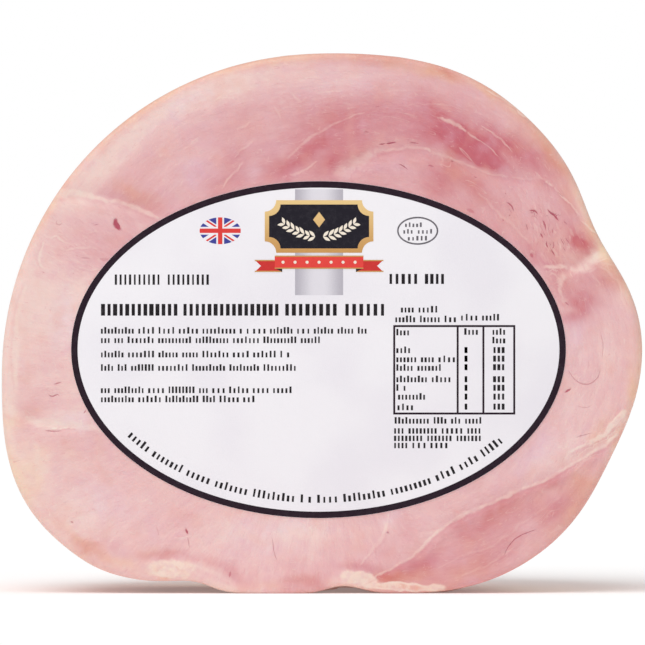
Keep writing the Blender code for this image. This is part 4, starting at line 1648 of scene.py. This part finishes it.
def make_emblem():
    """The grey band, the dark plaque with its gold rim, the red band under it and the oval flag."""
    band_top = LABEL_HEIGHT + LABEL_HALF_HEIGHT - BORDER_WIDTH - TOP_GAP
    band = rectangle(BAND_MIDDLE - BAND_HALF_WIDTH, BAND_MIDDLE + BAND_HALF_WIDTH, BAND_FOOT, band_top)
    print_piece("label_grey_band", [(band, 1)], band_finish(BAND_MIDDLE, BAND_HALF_WIDTH))

    plaque = ticket(PLAQUE_MIDDLE, *PLAQUE_HALF, PLAQUE_NOTCH)
    field = ticket(PLAQUE_MIDDLE, PLAQUE_HALF[0] - PLAQUE_RIM, PLAQUE_HALF[1] - PLAQUE_RIM, PLAQUE_NOTCH)
    gold = gold_finish()
    print_piece("label_plaque_rim", [(plaque, 2, field)], gold)
    plaque_ink = ink_finish("plaque_ink", PLAQUE_INK, GREY_INK, 0.15)
    print_piece("label_plaque", [(field, 2)], plaque_ink)

    red_ink = ink_finish("red_ink", RED_INK, RED_DEEP)
    deep_red_ink = ink_finish("deep_red_ink", RED_DEEP, RED_INK)
    middle = PLAQUE_MIDDLE[0]
    left, right = middle - RIBBON_HALF[0], middle + RIBBON_HALF[0]
    low, high = RIBBON_HEIGHT - RIBBON_HALF[1], RIBBON_HEIGHT + RIBBON_HALF[1]
    print_piece("label_red_band", [(rectangle(left, right, low, high), 4)], red_ink)
    tails, folds, edges = [], [], []
    for side, end in ((-1, left), (1, right)):
        near = end - side * TAIL_HIDDEN
        far = end + side * TAIL_LENGTH
        foot, top = low - TAIL_DROP, high - TAIL_DROP
        notch = (far - side * TAIL_NOTCH, (foot + top) / 2)
        tail = [(near, foot), (far, foot), notch, (far, top), (near, top)]
        tails.append((tail[::side], 2))
        folds.append(([(near, foot), (end, low), (near, low)][::side], 3))
        for up in (foot + GOLD_EDGE, top - GOLD_EDGE):
            edges.append((bar(near, far, up, GOLD_EDGE, side), 3))
    for up in (low, high):
        edges.append((rectangle(left, right, up - GOLD_EDGE, up + GOLD_EDGE), 5))
    print_piece("label_band_tails", tails, deep_red_ink)
    print_piece("label_band_folds", folds, plaque_ink)
    print_piece("label_band_edges", edges, gold)
    cream = ink_finish("cream_ink", CREAM_INK, BAND_LIGHT)
    dots = []
    for step in range(-DOTS_EACH_SIDE, DOTS_EACH_SIDE + 1):
        place = (middle + step * DOT_SPACING, RIBBON_HEIGHT)
        dots.append((oval(place, DOT_RADIUS, DOT_RADIUS, DOT_SIDES), 5))
    print_piece("label_band_dots", dots, cream)

    flag = oval(FLAG_MIDDLE, *FLAG_HALF, SMALL_OVAL_SIDES)
    print_piece("label_flag", [(flag, 1)], flag_finish(FLAG_MIDDLE, *FLAG_HALF))


class Tree:
    """A Geometry Nodes tree with named inputs, built one node after another."""

    def __init__(self, name):
        self.group = bpy.data.node_groups.new(name, "GeometryNodeTree")
        self.group.interface.new_socket("Geometry", in_out="INPUT", socket_type="NodeSocketGeometry")
        self.group.interface.new_socket("Geometry", in_out="OUTPUT", socket_type="NodeSocketGeometry")
        self.start = self.group.nodes.new("NodeGroupInput")
        self.end = self.group.nodes.new("NodeGroupOutput")

    def input(self, name, kind, value=None):
        socket = self.group.interface.new_socket(name, in_out="INPUT", socket_type=kind)
        if value is not None:
            socket.default_value = value
        return self.start.outputs[name]

    def add(self, kind, settings=None, **inputs):
        node = self.group.nodes.new(kind)
        for name, value in (settings or {}).items():
            setattr(node, name, value)
        for name, value in inputs.items():
            self.feed(node.inputs[name.replace("_", " ")], value)
        return node

    def feed(self, socket, value):
        if isinstance(value, bpy.types.NodeSocket):
            self.group.links.new(value, socket)
        else:
            socket.default_value = value

    def times(self, first, second):
        node = self.add("ShaderNodeMath", {"operation": "MULTIPLY"})
        self.feed(node.inputs[0], first)
        self.feed(node.inputs[1], second)
        return node.outputs[0]

    def vector(self, *values):
        node = self.add("ShaderNodeCombineXYZ")
        for socket, value in zip(node.inputs, values):
            self.feed(socket, value)
        return node.outputs[0]

    def unit_cube(self, shift):
        """A cube of side 1 whose middle is moved by a shift, and its node."""
        cube = self.add("GeometryNodeMeshCube")
        cube.inputs["Size"].default_value = (1.0, 1.0, 1.0)
        moved = self.add("GeometryNodeTransform", Geometry=cube.outputs["Mesh"])
        moved.inputs["Translation"].default_value = shift
        return moved.outputs[0], cube

    def random_number(self, low, high, seed):
        node = self.add("FunctionNodeRandomValue", {"data_type": "FLOAT"}, Seed=seed)
        self.feed(node.inputs[2], low)
        self.feed(node.inputs[3], high)
        return node.outputs[1]

    def spots_along(self, spacing):
        """Even spots along the edge chains of the mesh, and how a chain runs at each."""
        chains = self.add("GeometryNodeMeshToCurve", Mesh=self.start.outputs["Geometry"])
        spaced = self.add("GeometryNodeResampleCurve", {"mode": "LENGTH"}, Curve=chains.outputs[0])
        self.feed(spaced.inputs["Length"], spacing)
        spots = self.add("GeometryNodeCurveToPoints", {"mode": "EVALUATED"}, Curve=spaced.outputs[0])
        facing = self.add("FunctionNodeAlignRotationToVector", {"axis": "X", "pivot_axis": "Y"})
        self.feed(facing.inputs["Vector"], spots.outputs["Tangent"])
        return spots.outputs["Points"], facing.outputs[0]

    def put(self, shape, spots, rotation, size):
        """A copy of a shape at each spot."""
        node = self.add("GeometryNodeInstanceOnPoints", Points=spots, Scale=size)
        self.feed(node.inputs["Instance"], shape)
        self.feed(node.inputs["Rotation"], rotation)
        return node.outputs[0]

    def finish(self, copies, ink):
        """Makes the copies one real mesh with its ink, and ends the tree."""
        real = self.add("GeometryNodeRealizeInstances", Geometry=copies)
        inked = self.add("GeometryNodeSetMaterial", Geometry=real.outputs[0], Material=ink)
        self.feed(self.end.inputs[0], inked.outputs[0])
        return self.group


INK_THICKNESS = 0.05
BLOCK_WIDTHS = (0.72, 1.08)  # least and greatest, as shares of the width that is asked for


def word_block_tree():
    """Plain blocks in rows, standing for lines of words: each edge chain is the foot of one word."""
    tree = Tree("Word blocks")
    pitch = tree.input("Block Pitch", "NodeSocketFloat", 1.6 * MM)
    width = tree.input("Block Width", "NodeSocketFloat", 1.1 * MM)
    height = tree.input("Block Height", "NodeSocketFloat", 2.3 * MM)
    thickness = tree.input("Ink Thickness", "NodeSocketFloat", INK_THICKNESS * MM)
    low_share = tree.input("Low Block Share", "NodeSocketFloat", 0.6)
    low_height = tree.input("Low Block Height", "NodeSocketFloat", 0.74)
    seed = tree.input("Seed", "NodeSocketInt", 1)
    ink = tree.input("Ink", "NodeSocketMaterial")

    spots, facing = tree.spots_along(pitch)
    low = tree.add("FunctionNodeRandomValue", {"data_type": "BOOLEAN"}, Probability=low_share, Seed=seed)
    low_factor = tree.add("GeometryNodeSwitch", {"input_type": "FLOAT"}, Switch=low.outputs[3])
    tree.feed(low_factor.inputs["False"], 1.0)
    tree.feed(low_factor.inputs["True"], low_height)
    next_seed = tree.add("ShaderNodeMath", {"operation": "ADD"})
    tree.feed(next_seed.inputs[0], seed)
    tree.feed(next_seed.inputs[1], 1.0)
    spread = tree.random_number(*BLOCK_WIDTHS, next_seed.outputs[0])
    size = tree.vector(tree.times(width, spread), thickness, tree.times(height, low_factor.outputs[0]))
    block = tree.unit_cube((0.0, 0.0, 0.5))[0]
    return tree.finish(tree.put(block, spots, facing, size), ink)


def grown_mesh(name, guide, group, values):
    """The mesh that a Geometry Nodes tree makes from a guide mesh, with its inputs given by name."""
    holder = bpy.data.objects.new(name + "_guide", guide)
    bpy.context.scene.collection.objects.link(holder)
    modifier = holder.modifiers.new("Grow", "NODES")
    modifier.node_group = group
    sockets = group.interface.items_tree
    identifiers = {socket.name: socket.identifier for socket in sockets if socket.in_out == "INPUT"}
    for label, value in values.items():
        modifier[identifiers[label]] = value
    depsgraph = bpy.context.evaluated_depsgraph_get()
    mesh = bpy.data.meshes.new_from_object(holder.evaluated_get(depsgraph))
    mesh.name = name
    holder.modifiers.remove(modifier)
    bpy.data.objects.remove(holder)
    return mesh


FEWEST_BLOCKS, MOST_BLOCKS = 2, 9
SHORTEST_WORD = 2.2  # in pitches
WORD_SPACE = 1.9  # in pitches


def word_spans(start, end, pitch, random):
    """Cuts a line into words of a few blocks with a space after each."""
    spans = []
    here = start
    while end - here > SHORTEST_WORD * pitch:
        blocks = random.integers(FEWEST_BLOCKS, MOST_BLOCKS + 1)
        stop = min(here + blocks * pitch, end)
        spans.append((here, stop))
        here = stop + WORD_SPACE * pitch
    return spans


def chain_mesh(name, chains):
    """A mesh of edge chains on the paper, each a list of places."""
    points, edges = [], []
    for chain in chains:
        first = len(points)
        points += [Vector((across, PAPER_FRONT, up)) * MM for across, up in chain]
        edges += [(first + step, first + step + 1) for step in range(len(chain) - 1)]
    mesh = bpy.data.meshes.new(name)
    mesh.from_pydata(points, edges, [])
    return mesh


# Rows of word blocks: left, right and foot of each row
HEADING_WORDS = ((-76.6, -51.2, 97.3), (-47.9, -15.8, 97.3), (-12.2, 4.5, 97.3), (8.8, 21.2, 97.3))
SIDE_WORDS = ((-72.1, -57.2, 108.1), (-53.6, -40.0, 108.1))
RIGHT_WORDS = ((24.1, 32.8, 108.4), (36.6, 42.2, 108.4))
LEFT_ROWS = (
    (-77.0, 20.0, 91.0),
    (-77.0, 3.0, 87.7),
    (-77.0, -9.5, 82.7),
    (-77.0, -9.5, 78.0),
    (-77.0, -11.0, 70.2),
    (-77.0, -24.0, 67.0),
)
TABLE_ROWS = (
    (26.4, 34.5, 90.4),
    (26.4, 30.5, 84.2),
    (26.4, 46.6, 81.0),
    (26.4, 44.8, 78.0),
    (26.4, 44.6, 74.0),
    (26.4, 33.0, 71.0),
    (27.0, 36.0, 67.9),
    (26.8, 31.5, 64.2),
    (50.2, 54.2, 90.6),
    (60.0, 64.2, 90.6),
    (60.0, 64.2, 87.6),
)
TABLE_FIGURES = (84.2, 81.2, 78.2, 74.0, 71.0, 67.9, 64.4)
PANEL_ROWS = ((28.0, 40.0, 98.4), (26.0, 46.5, 95.0), (49.0, 61.6, 95.6), (25.8, 58.5, 59.5))
PANEL_CAPITALS = ((25.6, 57.5, 56.0), (25.6, 55.5, 53.4), (25.6, 43.5, 50.9))
MARK_ROWS = ((29.4, 37.4, 128.3), (28.8, 38.2, 126.0), (30.4, 36.4, 123.6))
CURVED_INSET = 5.4
CURVED_ANGLES = (215.0, 326.0)
CURVED_PITCH = 1.55
CURVED_STEPS = 800
FIGURE_COLUMNS = ((50.4, 50.41), (60.4, 63.4))
WORD_SEED = 20


def make_word_blocks():
    """All rows of word blocks: one piece for each size of block, and one for the row inside the border."""
    group = word_block_tree()
    black = ink_finish("text_ink", TEXT_INK, GREY_INK, 0.25)
    grey = bpy.data.materials["grey_ink"]
    random = np.random.default_rng(WORD_SEED)

    def rows_of_words(rows, pitch):
        chains = []
        for left, right, foot in rows:
            words = word_spans(left, right, pitch, random)
            chains += [[(start, foot), (stop, foot)] for start, stop in words]
        return chains

    def whole_words(words):
        return [[(left, foot), (right, foot)] for left, right, foot in words]

    def blocks(name, chains, pitch, width, height, low_share, ink, slot, seed):
        values = {
            "Block Pitch": pitch * MM,
            "Block Width": width * MM,
            "Block Height": height * MM,
            "Low Block Share": low_share,
            "Seed": seed,
            "Ink": ink,
        }
        mesh = grown_mesh(name, chain_mesh(name + "_feet", chains), group, values)
        place_piece(name, mesh, ink)

    blocks("label_heading_blocks", whole_words(HEADING_WORDS), 2.1, 1.45, 4.1, 0.0, black, "ink_black", 3)
    blocks("label_side_blocks", whole_words(SIDE_WORDS), 1.6, 0.8, 3.6, 0.0, black, "ink_black", 5)
    blocks("label_date_blocks", whole_words(RIGHT_WORDS), 1.75, 1.1, 3.5, 0.0, black, "ink_black", 7)
    blocks("label_text_blocks", rows_of_words(LEFT_ROWS, 1.2), 1.2, 0.72, 2.3, 0.65, black, "ink_black", 9)
    panel = rows_of_words(PANEL_ROWS + TABLE_ROWS, 1.25)
    blocks("label_panel_blocks", panel, 1.25, 0.75, 2.3, 0.65, black, "ink_black", 11)
    figures = [[(left, foot), (right, foot)] for left, right in FIGURE_COLUMNS for foot in TABLE_FIGURES]
    blocks("label_figure_blocks", figures, 1.5, 1.0, 2.1, 0.0, black, "ink_black", 13)
    capitals = rows_of_words(PANEL_CAPITALS, 1.3)
    blocks("label_notice_blocks", capitals, 1.3, 0.75, 1.9, 0.0, black, "ink_black", 15)
    blocks("label_mark_blocks", rows_of_words(MARK_ROWS, 1.3), 1.3, 0.7, 1.6, 0.5, grey, "ink_grey", 17)

    turns = np.linspace(*np.radians(CURVED_ANGLES), CURVED_STEPS)
    across = LABEL_SIDE + (LABEL_HALF_WIDTH - CURVED_INSET) * np.cos(turns)
    up = LABEL_HEIGHT + (LABEL_HALF_HEIGHT - CURVED_INSET) * np.sin(turns)
    places = np.stack([across, up], axis=1)
    run_to = np.concatenate([[0.0], np.cumsum(np.hypot(*np.diff(places, axis=0).T))])
    chains = []
    for first, last in word_spans(0.0, run_to[-1], CURVED_PITCH, random):
        inside = (run_to >= first) & (run_to <= last)
        chains.append([tuple(place) for place in places[inside]])
    blocks("label_curved_blocks", chains, CURVED_PITCH, 0.9, 2.8, 0.6, black, "ink_black", 19)


LEAF_GROWTH = (0.85, 1.1)  # least and greatest, as shares of the length that is asked for
LEAF_STEPS = 7
LEAF_TIP = 0.02

def sprig_tree():
    """Pointed leaves in pairs along a stem, each edge chain of the mesh being a stem."""
    tree = Tree("Leaf sprig")
    spacing = tree.input("Leaf Spacing", "NodeSocketFloat", 1.5 * MM)
    length = tree.input("Leaf Length", "NodeSocketFloat", 2.2 * MM)
    width = tree.input("Leaf Width", "NodeSocketFloat", 0.85 * MM)
    thickness = tree.input("Ink Thickness", "NodeSocketFloat", INK_THICKNESS * MM)
    spread = tree.input("Leaf Spread", "NodeSocketFloat", math.radians(38.0))
    seed = tree.input("Seed", "NodeSocketInt", 1)
    ink = tree.input("Ink", "NodeSocketMaterial")

    spots, facing = tree.spots_along(spacing)
    size = tree.vector(tree.times(length, tree.random_number(*LEAF_GROWTH, seed)), thickness, width)

    leaf, cube = tree.unit_cube((0.5, 0.0, 0.0))
    cube.inputs["Vertices X"].default_value = LEAF_STEPS
    place = tree.add("GeometryNodeInputPosition")
    parts = tree.add("ShaderNodeSeparateXYZ")
    tree.feed(parts.inputs[0], place.outputs[0])
    rounded = tree.add("ShaderNodeMath", {"operation": "SINE"})
    tree.feed(rounded.inputs[0], tree.times(parts.outputs[0], math.pi))
    belly = tree.add("ShaderNodeMath", {"operation": "MAXIMUM"})
    tree.feed(belly.inputs[0], rounded.outputs[0])
    tree.feed(belly.inputs[1], LEAF_TIP)
    formed = tree.vector(parts.outputs[0], parts.outputs[1], tree.times(parts.outputs[2], belly.outputs[0]))
    pointed = tree.add("GeometryNodeSetPosition", Geometry=leaf, Position=formed)

    joined = tree.add("GeometryNodeJoinGeometry")
    for side in (1.0, -1.0):
        turned = tree.add("FunctionNodeRotateRotation", {"rotation_space": "LOCAL"})
        tree.feed(turned.inputs[0], facing)
        tree.feed(turned.inputs[1], tree.vector(0.0, tree.times(spread, side)))
        copies = tree.put(pointed.outputs[0], spots, turned.outputs[0], size)
        tree.group.links.new(copies, joined.inputs[0])
    return tree.finish(joined.outputs[0], ink)


STEM_START = (1.4, -3.6)  # beside and above the plaque's middle
STEM_REACH = (10.6, 4.4)
STEM_RISE = 1.6
STEM_STEPS = 12
DIAMOND_HALF = (2.1, 2.7)
DIAMOND_LIFT = 2.4


def make_sprig():
    """Two leafy stems that meet under a small diamond, in cream on the dark plaque."""
    cream = bpy.data.materials["cream_ink"]
    stems = []
    for side in (-1, 1):
        stem = []
        for share in np.linspace(0.0, 1.0, STEM_STEPS):
            across = PLAQUE_MIDDLE[0] + side * (STEM_START[0] + STEM_REACH[0] * share)
            up = PLAQUE_MIDDLE[1] + STEM_START[1] + STEM_REACH[1] * share**STEM_RISE
            stem.append((across, up))
        stems.append(stem)
    values = {
        "Leaf Spacing": 1.75 * MM,
        "Leaf Length": 2.9 * MM,
        "Leaf Width": 1.1 * MM,
        "Seed": 4,
        "Ink": cream,
    }
    guide = chain_mesh("sprig_stems", stems)
    guide.transform(Matrix.Translation((0.0, -2 * PRINT_STEP * MM, 0.0)))
    mesh = grown_mesh("label_sprig", guide, sprig_tree(), values)
    place_piece("label_sprig", mesh, cream)
    side, rise = PLAQUE_MIDDLE[0], PLAQUE_MIDDLE[1] + DIAMOND_LIFT
    half_side, half_rise = DIAMOND_HALF
    corners = ((1, 0), (0, 1), (-1, 0), (0, -1))
    diamond = [(side + across * half_side, rise + up * half_rise) for across, up in corners]
    print_piece("label_diamond", [(diamond, 3)], bpy.data.materials["gold_ink"])


def make_camera():
    """A long lens at the middle of the photograph, so that one pixel is 0.35 mm on the cut."""
    data = bpy.data.cameras.new("photo_camera")
    data.sensor_width = SENSOR_WIDTH
    data.lens = SENSOR_WIDTH * CAMERA_DISTANCE / (PICTURE_SIDE * MM_PER_PIXEL)
    data.clip_start = 0.01
    data.clip_end = 100.0
    camera = bpy.data.objects.new("photo_camera", data)
    camera.location = Vector((CAMERA_SIDE, CUT_PLANE - CAMERA_DISTANCE, CAMERA_HEIGHT)) * MM
    camera.rotation_euler = (math.radians(90.0), 0.0, 0.0)
    bpy.context.scene.collection.objects.link(camera)
    bpy.context.scene.camera = camera


FLOOR_REACH = 20.0  # metres
FLOOR_GLOW = 0.12
DOME_LIGHT = 0.5
KEY_STRENGTH = 1.6
KEY_WIDTH = 50.0
KEY_ELEVATION = 60.0
KEY_SIDE = -30.0


def make_studio():
    """A plain pale floor, a soft dome of light and one wide soft light from the upper left."""
    form = bmesh.new()
    bmesh.ops.create_circle(form, cap_ends=True, segments=64, radius=FLOOR_REACH)
    mesh = bpy.data.meshes.new("floor")
    form.to_mesh(mesh)
    form.free()
    floor = bpy.data.objects.new("floor", mesh)
    bpy.context.scene.collection.objects.link(floor)
    surface = Finish("floor_white", 0.9, 0.0)
    surface.colour((0.95, 0.95, 0.95, 1.0))
    surface.shader.inputs["Emission Color"].default_value = (1.0, 1.0, 1.0, 1.0)
    surface.shader.inputs["Emission Strength"].default_value = FLOOR_GLOW
    mesh.materials.append(surface.material)

    world = bpy.data.worlds.new("studio")
    bpy.context.scene.world = world
    world.use_nodes = True
    nodes, links = world.node_tree.nodes, world.node_tree.links
    nodes.clear()
    seen = nodes.new("ShaderNodeBackground")
    seen.inputs["Strength"].default_value = 1.0
    seen.inputs["Color"].default_value = (1.0, 1.0, 1.0, 1.0)
    shed = nodes.new("ShaderNodeBackground")
    shed.inputs["Color"].default_value = (1.0, 1.0, 1.0, 1.0)
    shed.inputs["Strength"].default_value = DOME_LIGHT
    rays = nodes.new("ShaderNodeLightPath")
    mixed = nodes.new("ShaderNodeMixShader")
    out = nodes.new("ShaderNodeOutputWorld")
    links.new(rays.outputs["Is Camera Ray"], mixed.inputs[0])
    links.new(shed.outputs[0], mixed.inputs[1])
    links.new(seen.outputs[0], mixed.inputs[2])
    links.new(mixed.outputs[0], out.inputs["Surface"])

    data = bpy.data.lights.new("key_light", "SUN")
    data.energy = KEY_STRENGTH
    data.angle = math.radians(KEY_WIDTH)
    key = bpy.data.objects.new("key_light", data)
    key.rotation_euler = (math.radians(90.0 - KEY_ELEVATION), 0.0, math.radians(KEY_SIDE))
    bpy.context.scene.collection.objects.link(key)
    bpy.context.scene.view_settings.view_transform = "Standard"


make_camera()
make_studio()
make_ham()
make_paper()
make_border_and_marks()
make_emblem()
make_word_blocks()
make_sprig()
